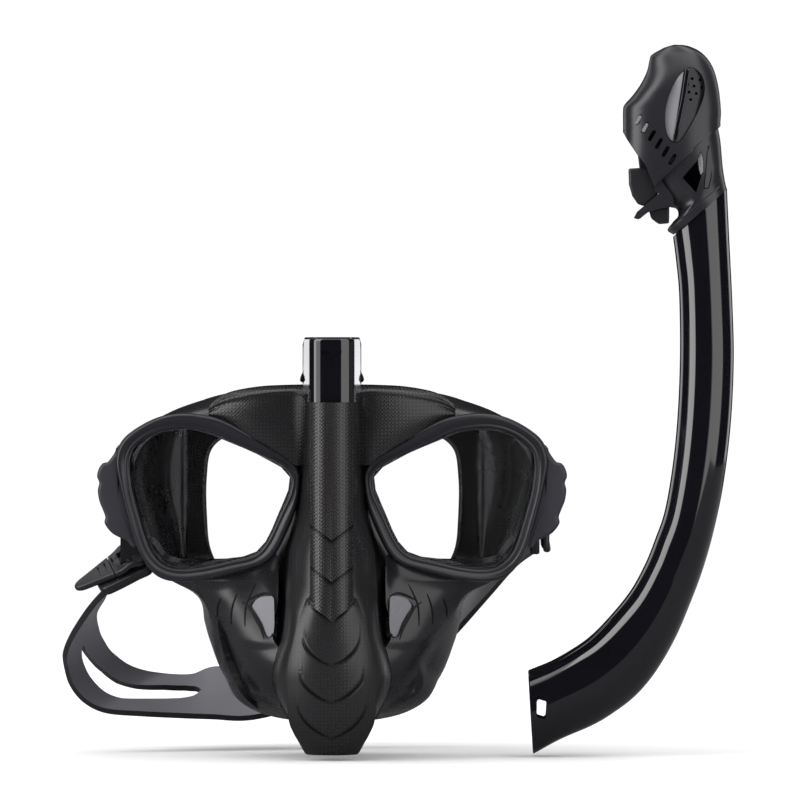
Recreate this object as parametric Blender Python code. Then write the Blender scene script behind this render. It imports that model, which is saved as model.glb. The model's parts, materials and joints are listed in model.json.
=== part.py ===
"""Full face snorkel mask with its detachable J-shaped tube.

Frame: metres, +Z up, the wearer looks along -Y, mask symmetric about X = 0.
Origin: symmetry plane, lens-centre height, rear plane of the face seal.
Dimensions below are millimetres and are multiplied by MM when a mesh is made.
"""
import math

import bmesh
import bpy
import numpy as np

MM = 0.001

# Driving dimensions (mm)
SKIRT_WALL = 2.4
POCKET_WALL = 1.8
LENS_THICK = 2.4
LENS_NOSE_Y = -58.0
LENS_SWEEP = 9.0
BEZEL_LIP = 3.2
BEZEL_BACK = 6.2
SPIGOT_Y = -53.0
SPIGOT_HALF_X = 12.0
SPIGOT_HALF_Y = 15.0
SPIGOT_TOP = 65.2
SPIGOT_BASE = 40.2
SPIGOT_WALL = 2.0
SPINE_HALF = 9.0
TUBE_Y = -40.0
TUBE_WALL = 1.8
CAP_WALL = 1.7
STRAP_THICK = 2.6
STRAP_PIVOT = (84.0, -34.0, -15.0)
CATCH_TRAVEL = 1.2
FLOAT_PIVOT = (147.0, -40.0, 147.0)

for old in list(bpy.data.objects):
    bpy.data.objects.remove(old, do_unlink=True)


def material(name, color, rough, metal=0.0, alpha=1.0, trans=0.0):
    mat = bpy.data.materials.new(name)
    mat.use_nodes = True
    bsdf = mat.node_tree.nodes["Principled BSDF"]
    bsdf.inputs["Base Color"].default_value = (*color, 1.0)
    bsdf.inputs["Roughness"].default_value = rough
    bsdf.inputs["Metallic"].default_value = metal
    bsdf.inputs["Alpha"].default_value = alpha
    bsdf.inputs["Transmission Weight"].default_value = trans
    return mat


MATS = {
    "silicone": material("silicone", (0.035, 0.034, 0.04), 0.32),
    "pocket": material("pocket", (0.03, 0.03, 0.035), 0.4),
    "lens": material("lens", (0.9, 0.93, 0.96), 0.03, alpha=0.25, trans=1.0),
    "bezel": material("bezel", (0.03, 0.029, 0.036), 0.35),
    "weave": material("weave", (0.045, 0.042, 0.043), 0.5),
    "gloss": material("gloss", (0.012, 0.012, 0.015), 0.08),
    "satin": material("satin", (0.045, 0.044, 0.05), 0.42),
    "inner": material("inner", (0.05, 0.05, 0.055), 0.5),
    "strap": material("strap", (0.05, 0.05, 0.055), 0.5),
    "seal": material("seal", (0.02, 0.02, 0.022), 0.45),
    "steel": material("steel", (0.5, 0.5, 0.52), 0.3, metal=1.0),
}


def put(name, verts, faces, mat, origin=(0.0, 0.0, 0.0)):
    """One closed mesh object; the origin is on the joint axis for moving pieces."""
    base = np.array(origin, float)
    pts = (np.array(verts, float) - base) * MM
    mesh = bpy.data.meshes.new(name)
    mesh.from_pydata([tuple(p) for p in pts], [], faces)
    mesh.validate()
    bm = bmesh.new()
    bm.from_mesh(mesh)
    bmesh.ops.remove_doubles(bm, verts=bm.verts[:], dist=1e-6)
    bmesh.ops.recalc_face_normals(bm, faces=bm.faces[:])
    bm.to_mesh(mesh)
    bm.free()
    obj = bpy.data.objects.new(name, mesh)
    obj.location = tuple(base * MM)
    bpy.context.scene.collection.objects.link(obj)
    mesh.materials.append(MATS[mat])
    return obj


def spline(points, count, closed=False, even=True):
    """Catmull-Rom curve through the points, resampled to `count` places."""
    pts = np.array(points, float)
    n = len(pts)
    spans = n if closed else n - 1
    fine = []
    for i in range(spans):
        if closed:
            p0, p1, p2, p3 = (pts[(i + k) % n] for k in (-1, 0, 1, 2))
        else:
            p1, p2 = pts[i], pts[i + 1]
            p0 = pts[i - 1] if i > 0 else 2 * p1 - p2
            p3 = pts[i + 2] if i + 2 < n else 2 * p2 - p1
        for t in np.linspace(0.0, 1.0, 16, endpoint=False):
            a = 2 * p1 + (p2 - p0) * t
            b = (2 * p0 - 5 * p1 + 4 * p2 - p3) * t * t
            c = (3 * p1 - p0 - 3 * p2 + p3) * t ** 3
            fine.append(0.5 * (a + b + c))
    fine.append(pts[0] if closed else pts[-1])
    fine = np.array(fine)
    if even:
        step = np.linalg.norm(np.diff(fine, axis=0), axis=1)
        run = np.concatenate([[0.0], np.cumsum(step)])
        run /= run[-1]
    else:
        run = np.linspace(0.0, 1.0, len(fine))
    want = np.linspace(0.0, 1.0, count, endpoint=not closed)
    return np.stack([np.interp(want, run, fine[:, k]) for k in range(pts.shape[1])], 1)


def oval(count, power=2.0):
    """Unit superellipse points."""
    ang = np.linspace(0.0, 2 * math.pi, count, endpoint=False)
    c = np.cos(ang)
    s = np.sin(ang)
    k = 2.0 / power
    return np.stack([np.sign(c) * np.abs(c) ** k, np.sign(s) * np.abs(s) ** k], 1)


def weave(rings, closed, caps=True):
    """Quads between equal rings; closed joins the last ring to the first."""
    verts = [tuple(p) for ring in rings for p in ring]
    m = len(rings[0])
    n = len(rings)
    faces = []
    for i in range(n if closed else n - 1):
        a = i * m
        b = ((i + 1) % n) * m
        for j in range(m):
            k = (j + 1) % m
            faces.append((a + j, a + k, b + k, b + j))
    if not closed and caps:
        faces.append(tuple(range(m - 1, -1, -1)))
        faces.append(tuple((n - 1) * m + j for j in range(m)))
    return verts, faces


def fan_caps(rings):
    """Open loft closed with centre fans, for end rings that are not flat."""
    verts, faces = weave(rings, False, caps=False)
    m = len(rings[0])
    n = len(rings)
    for start, ring in ((0, rings[0]), ((n - 1) * m, rings[-1])):
        mid = len(verts)
        verts.append(tuple(np.mean(np.array(ring), axis=0)))
        for j in range(m):
            faces.append((start + j, start + (j + 1) % m, mid))
    return verts, faces


def shell(grid, wall, closed_u=True):
    """Closed shell from a surface grid [u][v], wall taken on the inner side."""
    g = np.array(grid, float)
    du = np.roll(g, -1, 0) - np.roll(g, 1, 0)
    dv = np.gradient(g, axis=1)
    nrm = np.cross(du, dv)
    nrm /= np.linalg.norm(nrm, axis=2, keepdims=True)
    back = g + nrm * wall
    rings = [np.concatenate([g[i], back[i][::-1]]) for i in range(len(g))]
    return weave(rings, closed_u)


def mirror_x(obj_points):
    pts = np.array(obj_points, float)
    pts[:, 0] *= -1
    return pts


def cutter(name, verts, faces):
    obj = put(name, verts, faces, "inner")
    obj.hide_render = True
    obj.display_type = "WIRE"
    return obj


def boolean(target, tool, kind="DIFFERENCE"):
    mod = target.modifiers.new("bool_" + tool.name, "BOOLEAN")
    mod.operation = kind
    mod.solver = "EXACT"
    mod.object = tool


def box(lo, hi):
    x0, y0, z0 = lo
    x1, y1, z1 = hi
    ring = [(x0, y0), (x1, y0), (x1, y1), (x0, y1)]
    return weave([[(x, y, z) for x, y in ring] for z in (z0, z1)], False)


def prism_y(outline, y0, y1, inset=0.0):
    """Outline in X-Z pushed along Y, with an optional chamfer at both ends."""
    pts = np.array(outline, float)
    mid = pts.mean(axis=0)
    rings = []
    if inset > 0:
        small = mid + (pts - mid) * (1 - inset / np.abs(pts - mid).max())
        steps = ((small, y0), (pts, y0 + inset), (pts, y1 - inset), (small, y1))
    else:
        steps = ((pts, y0), (pts, y1))
    for p, y in steps:
        rings.append([(x, y, z) for x, z in p])
    return weave(rings, False)


def rod(p0, p1, radius, sides=12):
    a = np.array(p0, float)
    b = np.array(p1, float)
    axis = (b - a) / np.linalg.norm(b - a)
    side = np.cross(axis, (0.0, 0.0, 1.0))
    if np.linalg.norm(side) < 0.1:
        side = np.cross(axis, (0.0, 1.0, 0.0))
    side /= np.linalg.norm(side)
    up = np.cross(axis, side)
    circle = oval(sides)
    rings = [[p + radius * (side * c + up * s) for c, s in circle] for p in (a, b)]
    return weave(rings, False)


# ---------------------------------------------------------------- lenses
GLASS = [(17, 8), (28, 16.3), (42, 22.6), (55, 27.4), (66, 27.8), (77, 24.2), (84, 16),
         (83, 1), (78, -16), (71, -28.2), (60, -30.4), (42, -27), (29.5, -22.5), (21.5, -7)]


def lens_y(x):
    return LENS_NOSE_Y + LENS_SWEEP * ((np.abs(x) - 16.0) / 70.0) ** 2


def outward(loop):
    """In-plane outward normals of a clockwise or anticlockwise loop."""
    t = np.roll(loop, -1, 0) - np.roll(loop, 1, 0)
    n = np.stack([t[:, 1], -t[:, 0]], 1)
    n /= np.linalg.norm(n, axis=1, keepdims=True)
    if np.sum(n * (loop - loop.mean(axis=0))) < 0:
        n = -n
    return n


def lens_loop(count):
    return spline(GLASS, count, closed=True)


def bezel_width(loop):
    """The clamping ring is wider at the top and at the outer side."""
    x, z = loop[:, 0], loop[:, 1]
    top = np.clip((z - 5.0) / 20.0, 0.0, 1.0)
    out = np.clip((x - 60.0) / 20.0, 0.0, 1.0)
    return 3.6 + 2.0 * np.maximum(top, out)


def plate_on(loop, y_front, y_back):
    """Curved pane: ring, half ring and centre, front and back."""
    mid = np.array([50.0, -1.0])
    rings = []
    for frac in (0.02, 0.55, 1.0):
        p = mid + (loop - mid) * frac
        rings.append([(x, lens_y(x) + y_front, z) for x, z in p])
    for frac in (1.0, 0.55, 0.02):
        p = mid + (loop - mid) * frac
        rings.append([(x, lens_y(x) + y_back, z) for x, z in p])
    return weave(rings, False)


def ring_on(loop, normals, profile, width):
    """Ring swept round the pane; profile points are (offset, width share, depth)."""
    rings = []
    for off, share, depth in profile:
        p = loop + normals * (off + share * width)[:, None]
        rings.append([(x, lens_y(x) + depth, z) for x, z in p])
    return weave(rings, True)


def build_lenses():
    loop = lens_loop(34)
    nrm = outward(loop)
    width = bezel_width(loop)
    zero = np.zeros(len(loop))
    pane = plate_on(loop + nrm * 1.9, 0.3, 0.3 + LENS_THICK)
    bezel = ring_on(loop, nrm, [
        (0.0 + zero, 0.0, -1.2), (0.6 + zero, 0.0, -2.2), (zero, 0.55, -BEZEL_LIP),
        (zero, 1.0, -1.4), (zero, 1.0, BEZEL_BACK), (2.3 + zero, 0.0, BEZEL_BACK),
        (2.3 + zero, 0.0, 0.0), (0.0 + zero, 0.0, 0.0)], width)
    gasket = ring_on(loop, nrm, [
        (-0.6 + zero, 0.0, 3.1), (1.9 + zero, 0.0, 3.1), (1.9 + zero, 0.0, 5.8),
        (-0.6 + zero, 0.0, 5.8)], width)
    for side, sign in (("left", -1), ("right", 1)):
        for name, (v, f), mat in (("lens_", pane, "lens"), ("lens_bezel_", bezel, "bezel"),
                                  ("lens_gasket_", gasket, "seal")):
            pts = np.array(v, float)
            pts[:, 0] *= sign
            put(name + side, pts, f, mat)


# ---------------------------------------------------------------- silicone skirt
SKIRT = [
    ((0, -36, 37), (0, -29, 40.5), (0, -19, 42), (0, -6, 41), (0, -2, 30)),
    ((27, -44, 33), (27, -33, 38.5), (28, -20, 41), (27, -5, 40), (24, -1.5, 29)),
    ((50, -45.5, 29.5), (52, -36, 34.5), (53, -22, 37), (50, -4, 36), (42, -1, 26)),
    ((73, -42.5, 25.5), (75, -33, 27), (73, -22, 27), (66, -4, 26), (52, 0, 19)),
    ((83, -40.5, 10), (81.5, -31, 10), (77.5, -20, 9), (70, -4, 8), (54.5, 0, 6)),
    ((77.5, -41, -12), (76.5, -31, -12), (73.5, -20, -12), (67, -4, -12), (54.5, 0, -10)),
    ((68, -42, -29), (69, -32, -32), (67, -20, -33), (62, -4, -32), (53, 0, -24)),
    ((54, -45, -31), (58, -38, -40), (58, -25, -44), (56, -6, -42), (48, 0, -36)),
    ((38, -50, -31), (46, -47, -44), (52, -30, -56), (50, -6, -57), (41, 0, -50)),
    ((26.5, -54, -30), (34, -55, -49), (46, -36, -67), (44, -8, -71), (35, -1, -60)),
    ((22, -58, -45), (28, -57, -61), (37, -38, -80), (35, -10, -84), (27, -2, -69)),
    ((21, -58, -66), (23.5, -55, -77), (22, -40, -91), (20, -13, -93), (17, -3, -76)),
    ((0, -52, -78), (0, -48, -88), (0, -36, -94), (0, -14, -95), (0, -3, -79)),
]


def mirrored_stations(half):
    """Right-hand stations, then their mirror images back up the left side."""
    right = [np.array(s, float) for s in half]
    left = []
    for s in right[-2:0:-1]:
        m = s.copy()
        m[:, 0] *= -1
        left.append(m)
    return right + left


def station_surface(half, count_u, count_v):
    st = np.array(mirrored_stations(half))
    cols = [spline(st[:, k], count_u, closed=True, even=False) for k in range(st.shape[1])]
    cols = np.stack(cols, 1)
    return np.array([spline(row, count_v, even=False) for row in cols])


def build_skirt():
    grid = station_surface(SKIRT, 48, 9)
    v, f = shell(grid, SKIRT_WALL)
    put("face_skirt", v, f, "silicone")


POCKET = [
    ((0, -50, -30), (0, -41, -10), (0, -26, 2)),
    ((9, -51, -31), (14, -40, -15), (13.5, -23, -4)),
    ((14.5, -51, -34), (24, -37, -29), (26, -17, -23)),
    ((15.5, -51, -45), (28, -35, -45), (32, -13, -43)),
    ((14.5, -51, -58), (23, -34, -61), (26, -10, -62)),
    ((9, -51, -63.5), (12, -34, -68), (14, -8, -71)),
    ((0, -51, -64.5), (0, -34, -70), (0, -7, -73)),
]
INHALE_AT = (24.6, -34.0, -44.0)
INHALE_AXIS = (0.86, -0.51, 0.0)


def disc(center, axis, radius, thick, hole=0.0, sides=16):
    c = np.array(center, float)
    a = np.array(axis, float)
    a /= np.linalg.norm(a)
    if hole <= 0:
        return rod(c - a * thick / 2, c + a * thick / 2, radius, sides)
    side = np.cross(a, (0.0, 0.0, 1.0))
    side /= np.linalg.norm(side)
    up = np.cross(a, side)
    circle = oval(sides)
    rings = []
    for r, h in ((hole, -0.5), (radius, -0.5), (radius, 0.5), (hole, 0.5)):
        rings.append([c + a * h * thick + r * (side * p + up * q) for p, q in circle])
    return weave(rings, True)


def build_pocket():
    grid = station_surface(POCKET, 32, 6)
    v, f = shell(grid, POCKET_WALL)
    pocket = put("breathing_pocket", v, f, "pocket")
    axis = np.array(INHALE_AXIS)
    for side, sign in (("left", -1), ("right", 1)):
        flip = np.array([sign, 1.0, 1.0])
        at = np.array(INHALE_AT) * flip
        ax = axis * flip
        hole = cutter("cut_inhale_" + side, *disc(at + ax * 2.5, ax, 9.6, 16.0))
        boolean(pocket, hole)
        put("inhale_seat_" + side, *disc(at + ax * 2.5, ax, 9.2, 3.0, hole=6.2), "inner")
        flap_at = at + ax * 0.3
        hinge = flap_at + np.array([0.0, 0.0, 8.2])
        put("inhale_flap_" + side, *disc(flap_at, ax, 8.2, 0.8), "seal", origin=hinge)


# ---------------------------------------------------------------- hard front parts
def build_brow():
    rings = []
    for x in np.linspace(13.3, 50.8, 9):
        k = (x - 13.3) / 37.5
        top = 46.4 - 0.5 * k - 8.2 * k ** 4
        low = 16.6 + 20.0 * k - 1.6 * math.sin(math.pi * k)
        low = min(low, top - 2.0)
        front = -64.5 + 10.5 * k ** 2
        rear = -50.0 + 1.0 * k
        crease = top - (4.6 - 3.0 * k)
        rings.append([
            (x, rear, top - 2.6), (x, rear - 3.0, top - 0.6), (x, front + 5.0, top),
            (x, front + 1.6, top - 1.6), (x, front + 1.0, crease), (x, front, crease - 1.0),
            (x, front, low + 0.9), (x, front + 1.2, low), (x, rear, low)])
    v, f = weave(rings, False)
    put("brow_right", v, f, "weave")
    put("brow_left", mirror_x(v), f, "weave")


SPINE_LINE = [(39.4, -71.0), (20, -75.5), (0, -80.0), (-20, -84.5), (-44, -89.0), (-70, -91.5),
              (-90, -89.0), (-101, -84.0), (-107.5, -77.0)]


def spine_y(z):
    line = np.array(SPINE_LINE)[::-1]
    return np.interp(z, line[:, 0], line[:, 1])


def channel_ring(z, half, front, back, wall, round_by):
    """Cover section open at the back: outer run, then the inner run returning."""
    r = round_by
    out = [(-half, back), (-half, front + r), (-half + r * 0.9, front + 0.25 * r),
           (0.0, front), (half - r * 0.9, front + 0.25 * r), (half, front + r), (half, back)]
    w = half - wall
    inn = [(w, back), (w, front + r + wall * 0.6), (w - r * 0.6, front + 0.25 * r + wall),
           (0.0, front + wall), (-w + r * 0.6, front + 0.25 * r + wall),
           (-w, front + r + wall * 0.6), (-w, back)]
    return [(x, y, z) for x, y in out + inn]


def c_loft(rings):
    """Loft of channel sections; the end faces are strips between the two runs."""
    verts, faces = weave(rings, False, caps=False)
    m = len(rings[0])
    n = len(rings)
    for base in (0, (n - 1) * m):
        for j in range(m // 2 - 1):
            faces.append((base + j, base + j + 1, base + m - 2 - j, base + m - 1 - j))
    return verts, faces


def build_covers():
    rings = [channel_ring(z, SPINE_HALF, spine_y(z), -67.6 if z > -26 else -72.2, 2.0, 2.2)
             for z in (39.2, 26, 12, -2, -15, -25, -27, -43.4)]
    put("spine_cover", *c_loft(rings), "weave")
    flare = [(-44.0, 11.9), (-52, 14.2), (-60.4, 15.9), (-70.8, 17.9), (-77, 18.3),
             (-95, 18.2), (-102, 15.2), (-105.8, 11.4), (-107.5, 6.5)]
    rings = []
    for z, half in flare:
        back = -73.0 if z > -90 else -73.0 + (z + 90) * 0.12
        rings.append(channel_ring(z, half, spine_y(z), back, 2.0, min(3.0, half * 0.3)))
    put("lower_cover", *c_loft(rings), "weave")


def build_duct():
    spec = [(38.8, 11.2, -66.6, -39.4), (32, 10.8, -66.6, -46.5), (22, 10.4, -66.6, -50.0),
            (0, 10.4, -66.6, -50.0), (-26.4, 10.4, -66.6, -53.0)]
    circle = oval(16, 4.0)
    outer = []
    inner = []
    for z, half, front, back in spec:
        mid = (front + back) / 2
        dep = (back - front) / 2
        outer.append([(half * c, mid + dep * s, z) for c, s in circle])
        w = 1.6
        inner.append([((half - w) * c, mid + (dep - w) * s, z) for c, s in circle])
    put("duct_channel", *weave(outer + inner[::-1], True), "inner")

    mid_z, half_x, half_z = -47.6, 18.2, 19.9
    circle = oval(24, 5.0)
    rings = []
    for y, shrink in ((-69.4, 14.0), (-69.4, 2.0), (-53.0, 2.0), (-53.0, 0.0),
                      (-70.4, 0.0), (-71.6, 1.2), (-71.6, 14.0)):
        rings.append([((half_x - shrink) * c, y, mid_z + (half_z - shrink) * s)
                      for c, s in circle])
    chamber = put("mouth_chamber", *weave(rings, False), "inner")
    boolean(chamber, cutter("cut_chamber_top", *box((-8, -65, -32), (8, -56, -20))))
    boolean(chamber, cutter("cut_chamber_low", *box((-11, -66, -74), (11, -57, -60))))

    seat = []
    circle = oval(16, 5.0)
    for hx, hy, z in ((11.2, 4.6, -70.3), (14.0, 7.4, -70.3), (14.0, 7.4, -68.2),
                      (11.2, 4.6, -68.2)):
        seat.append([(hx * c, -61.5 + hy * s, z) for c, s in circle])
    put("purge_seat", *weave(seat, True), "inner")
    flap = [[(13.0 * c, -61.5 + 6.6 * s, z) for c, s in circle] for z in (-71.5, -70.7)]
    put("purge_flap", *weave(flap, False), "seal", origin=(0, -55.5, -71.1))
    grille = put("purge_grille", *box((-13.5, -73.2, -98.2), (13.5, -63.5, -96.2)), "satin")
    for k in range(5):
        x = -10.4 + 5.2 * k
        slot = cutter("cut_grille_%d" % k, *box((x - 1.2, -71.5, -100), (x + 1.2, -65, -94)))
        boolean(grille, slot)


def build_spigot():
    circle = oval(20, 3.4)

    def ring(z, grow):
        return [((SPIGOT_HALF_X + grow) * c, SPIGOT_Y + (SPIGOT_HALF_Y + grow) * s, z)
                for c, s in circle]

    rings = [ring(SPIGOT_BASE, 0), ring(41.2, 0), ring(41.4, -1.0), ring(43.6, -1.0),
             ring(43.8, 0), ring(63.8, 0), ring(SPIGOT_TOP, -0.8),
             ring(SPIGOT_TOP, -SPIGOT_WALL), ring(SPIGOT_BASE, -SPIGOT_WALL)]
    spigot = put("tube_spigot", *weave(rings, True), "gloss")
    v_key = [(-5, 60.4), (-0.5, 53.8), (4, 60.4)]
    boolean(spigot, cutter("add_spigot_key", *prism_y(v_key, -68.9, -67.2)), "UNION")
    seal = []
    for a in np.linspace(0, 2 * math.pi, 8, endpoint=False):
        seal.append(ring(42.5 + 0.95 * math.sin(a), 0.05 + 0.9 * math.cos(a)))
    put("spigot_seal", *weave(seal, True), "seal")
    for side, sign in (("left", -1), ("right", 1)):
        lo = (min(sign * 9, sign * 13), -58, 46.7)
        hi = (max(sign * 9, sign * 13), -48, 52.2)
        boolean(spigot, cutter("cut_catch_" + side, *box(lo, hi)))
        x_in, x_out = 9.9, 13.4
        shape = [(x_in, 47.2), (x_out - 1.0, 47.2), (x_out, 48.1), (x_out - 0.4, 50.0),
                 (x_out - 1.2, 51.7), (x_in, 51.7)]
        pts, faces = prism_y([(sign * x, z) for x, z in shape], -57.4, -48.6)
        put("snap_catch_" + side, pts, faces, "gloss", origin=(sign * 11.6, -53, 48))


def build_nose_frame():
    outline = [(10.9, 33), (26, 33), (24, 17), (16.4, 11), (16.4, 5), (20.6, -7), (25.0, -17),
               (17.5, -17), (15.5, -8), (10.9, 2)]
    v, f = prism_y(outline, -48.8, -46.8)
    put("nose_frame_right", v, f, "inner")
    put("nose_frame_left", mirror_x(v), f, "inner")


# ---------------------------------------------------------------- lugs and harness
def build_lugs():
    inner = [(91.0, 19.0), (91.9, 14.5), (91.2, 8.0), (89.8, 0.0), (87.7, -8.0), (86.0, -14.0),
             (84.6, -17.5)]
    outer = [(87.6, -18.0), (91.5, -14.6), (94.2, -10.0), (96.0, -5.0), (97.2, 0.0),
             (97.3, 5.0), (97.2, 10.0), (94.0, 14.0), (92.0, 18.5)]
    outline = np.array(inner + outer)
    rings = []
    mid = outline.mean(axis=0)
    for y, k in ((-50.0, 0.86), (-48.6, 1.0), (-41.6, 1.0), (-40.2, 0.86)):
        p = mid + (outline - mid) * [k, 1.0 - (1.0 - k) * 0.3]
        rings.append([(x, y, z) for x, z in p])
    v, f = weave(rings, False)
    put("strap_lug_right", v, f, "silicone")
    put("strap_lug_left", mirror_x(v), f, "silicone")
    px, py, pz = STRAP_PIVOT
    for side, sign, end in (("left", -1, 90.6), ("right", 1, 85.6)):
        put("lug_pin_" + side, *rod((sign * 79.4, py, pz), (sign * end, py, pz), 1.7), "steel")


def local_box(lo, hi, frame):
    v, f = box(lo, hi)
    o, d, w, t = frame
    pts = [o + p[0] * d + p[1] * w + p[2] * t for p in np.array(v, float)]
    return pts, f


def buckle_frame(sign):
    """Origin on the pin, then length, width and thickness directions."""
    px, py, pz = STRAP_PIVOT
    if sign < 0:
        d = np.array([-0.885, 0.0, -0.466])
        w = np.array([-0.233, 0.866, 0.442])
    else:
        d = np.array([0.0, 0.999, -0.04])
        w = np.array([0.0, 0.04, 1.0])
    d /= np.linalg.norm(d)
    w -= d * np.dot(w, d)
    w /= np.linalg.norm(w)
    t = np.cross(d, w)
    if sign < 0:
        t = -t
        if t[1] > 0:
            t = -t
    elif t[0] < 0:
        t = -t
    start = np.array([-84.0, py, -25.5]) if sign < 0 else np.array([84.2, py, pz])
    return start, d, w, t


def build_harness():
    for side, sign in (("left", -1), ("right", 1)):
        o, d, w, t = buckle_frame(sign)
        origin = (sign * STRAP_PIVOT[0], STRAP_PIVOT[1], STRAP_PIVOT[2])
        fr = (o, d, w, t)
        low = -3.0 if sign < 0 else -1.6
        plate = local_box((2.4, -9.5, low), (20.0, 9.5, low + 4.0), fr)
        put("buckle_" + side, *plate, "satin", origin=origin)
        buckle = bpy.data.objects["buckle_" + side]
        px, py, pz = origin
        end = 92.6 if sign < 0 else 87.4
        barrel = rod((sign * 82.2, py, pz), (sign * end, py, pz), 3.9)
        boolean(buckle, cutter("add_barrel_" + side, *barrel), "UNION")
        if sign < 0:
            arm = box((-91.6, py - 3.4, -28.0), (-86.0, py + 3.4, -17.0))
            boolean(buckle, cutter("add_arm_" + side, *arm), "UNION")
        bore = rod((sign * 78.0, py, pz), (sign * (end - 1.4), py, pz), 2.1)
        boolean(buckle, cutter("cut_barrel_" + side, *bore))
        slot = cutter("cut_buckle_a_" + side, *local_box((7.0, -7, -6), (10.2, 7, 5), fr))
        boolean(buckle, slot)
        slot = cutter("cut_buckle_b_" + side, *local_box((14.6, -7, -6), (18.0, 7, 5), fr))
        boolean(buckle, slot)
        a = o + d * 8.6 + w * 6.6 + t * (low + 2.0)
        b = o + d * 8.6 - w * 6.6 + t * (low + 2.0)
        put("strap_roller_" + side, *rod(a, b, 1.1, 8), "steel", origin=origin)
        lev = local_box((10.2, -7.5, low + 4.6), (19.5, 7.5, low + 7.4), fr)
        pivot = o + d * 10.8 + t * (low + 5.6)
        put("release_lever_" + side, *lev, "satin", origin=pivot)


STRAP = [
    ((-98.6, -31, -43.2), (0, 1, 0.3), 9.0),
    ((-101.2, -27, -52), (0.3, 0.95, 0.2), 11.0),
    ((-104.0, -18, -62), (0.42, 0.85, 0.25), 15.0),
    ((-101.5, -2, -76), (0.42, 0.8, 0.43), 21.0),
    ((-88.0, 12, -80), (0.05, 0.88, 0.47), 22.5),
    ((-65.0, 24, -83.5), (-0.05, 0.93, 0.36), 22.5),
    ((-45.0, 30, -82.6), (-0.1, 0.9, 0.42), 22.5),
    ((-15.0, 38, -80), (-0.1, 0.85, 0.5), 22.5),
    ((20.0, 44, -70), (-0.1, 0.7, 0.7), 22.0),
    ((48.0, 36, -52), (0.2, 0.45, 0.87), 18.0),
    ((66.0, 14, -34), (0.2, 0.1, 0.95), 13.0),
    ((77.0, 0, -22), (0.1, 0.0, 0.98), 10.0),
    ((84.2, -12.6, -16.2), (0, 0, 1), 9.0),
]


def strap_rows(count_u, count_v):
    mid = spline([s[0] for s in STRAP], count_u, even=False)
    wid = spline([s[1] for s in STRAP], count_u, even=False)
    wid /= np.linalg.norm(wid, axis=1, keepdims=True)
    half = spline([[s[2]] for s in STRAP], count_u, even=False)[:, 0]
    rows = []
    for i in range(count_u):
        rows.append([mid[i] + wid[i] * half[i] * k for k in np.linspace(-1, 1, count_v)])
    return np.array(rows)


def holed_sheet(grid, wall, keep):
    """Sheet of the kept cells given a thickness, closed round every hole."""
    g = np.array(grid, float)
    nu, nv = g.shape[:2]
    nrm = np.cross(np.gradient(g, axis=0), np.gradient(g, axis=1))
    nrm /= np.linalg.norm(nrm, axis=2, keepdims=True)
    verts = np.concatenate([(g - nrm * wall / 2).reshape(-1, 3),
                            (g + nrm * wall / 2).reshape(-1, 3)])
    top = nu * nv
    faces = []
    for i in range(nu - 1):
        for j in range(nv - 1):
            if not keep[i][j]:
                continue
            a, b = i * nv + j, i * nv + j + 1
            c, d = (i + 1) * nv + j + 1, (i + 1) * nv + j
            faces.append((a, b, c, d))
            faces.append((top + d, top + c, top + b, top + a))
            for (p, q, ii, jj) in ((a, b, i - 1, j), (b, c, i, j + 1),
                                   (c, d, i + 1, j), (d, a, i, j - 1)):
                inside = 0 <= ii < nu - 1 and 0 <= jj < nv - 1 and keep[ii][jj]
                if not inside:
                    faces.append((q, p, top + p, top + q))
    used = sorted({k for f in faces for k in f})
    remap = {k: n for n, k in enumerate(used)}
    return verts[used], [tuple(remap[k] for k in f) for f in faces]


def build_strap():
    count_u, count_v = 37, 4
    grid = strap_rows(count_u, count_v)
    for a, b in ((6, 16), (20, 30)):
        for i in range(a, b + 1):
            ease = math.sin(math.pi * (i - a) / (b - a))
            w = grid[i, 3] - grid[i, 0]
            gap = 0.015 + 0.07 * ease
            grid[i, 1] = grid[i, 0] + w * (0.45 - gap)
            grid[i, 2] = grid[i, 0] + w * (0.45 + gap)
    keep = [[not (j == 1 and (6 <= i < 16 or 20 <= i < 30)) for j in range(count_v - 1)]
            for i in range(count_u - 1)]
    v, f = holed_sheet(grid, STRAP_THICK, keep)
    put("head_strap", v, f, "strap", origin=(-STRAP_PIVOT[0], STRAP_PIVOT[1], STRAP_PIVOT[2]))


# ---------------------------------------------------------------- snorkel tube
TUBE_IN = [(81.7, -73.3), (99.2, -65), (115.8, -50.8), (130.4, -29.2), (138.8, -6.3),
           (143.6, 22), (145.1, 60), (143.6, 96), (142.1, 106.3)]
TUBE_OUT = [(83.8, -108.3), (107.5, -97), (134.6, -75), (149.2, -45.8), (158.8, -16.7),
            (165.4, 19), (167.5, 56.3), (166.0, 95), (164.6, 127.3)]


def oval_rings(edge_in, edge_out, depth, wall, circle):
    """Rings across two edge curves in X-Z; depth is the half size along Y."""
    a = np.array(edge_in, float)
    b = np.array(edge_out, float)
    rings = []
    for p, q, dep in zip(a, b, depth):
        mid = (p + q) / 2
        half = np.linalg.norm(q - p) / 2
        n = (q - p) / (2 * half)
        ring = []
        for c, s in circle:
            xz = mid + n * (half - wall) * c
            ring.append((xz[0], TUBE_Y + (dep - wall) * s, xz[1]))
        rings.append(ring)
    return rings


def build_tube():
    count = 17
    edge_in = spline(TUBE_IN, count)
    edge_out = spline(TUBE_OUT, count)
    depth = 12.4 + 2.0 * np.clip(1 - np.linspace(0, 1, count) / 0.35, 0, 1)
    circle = oval(16, 2.5)
    outer = oval_rings(edge_in, edge_out, depth, 0.0, circle)
    inner = oval_rings(edge_in, edge_out, depth, TUBE_WALL, circle)
    tube = put("snorkel_tube", *weave(outer + inner[::-1], True), "gloss")
    slot = [(85.4, -85.4), (89.2, -85.4), (89.2, -92.9), (85.4, -92.9)]
    boolean(tube, cutter("cut_tube_slot", *prism_y(slot, -60, -20)))


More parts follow.
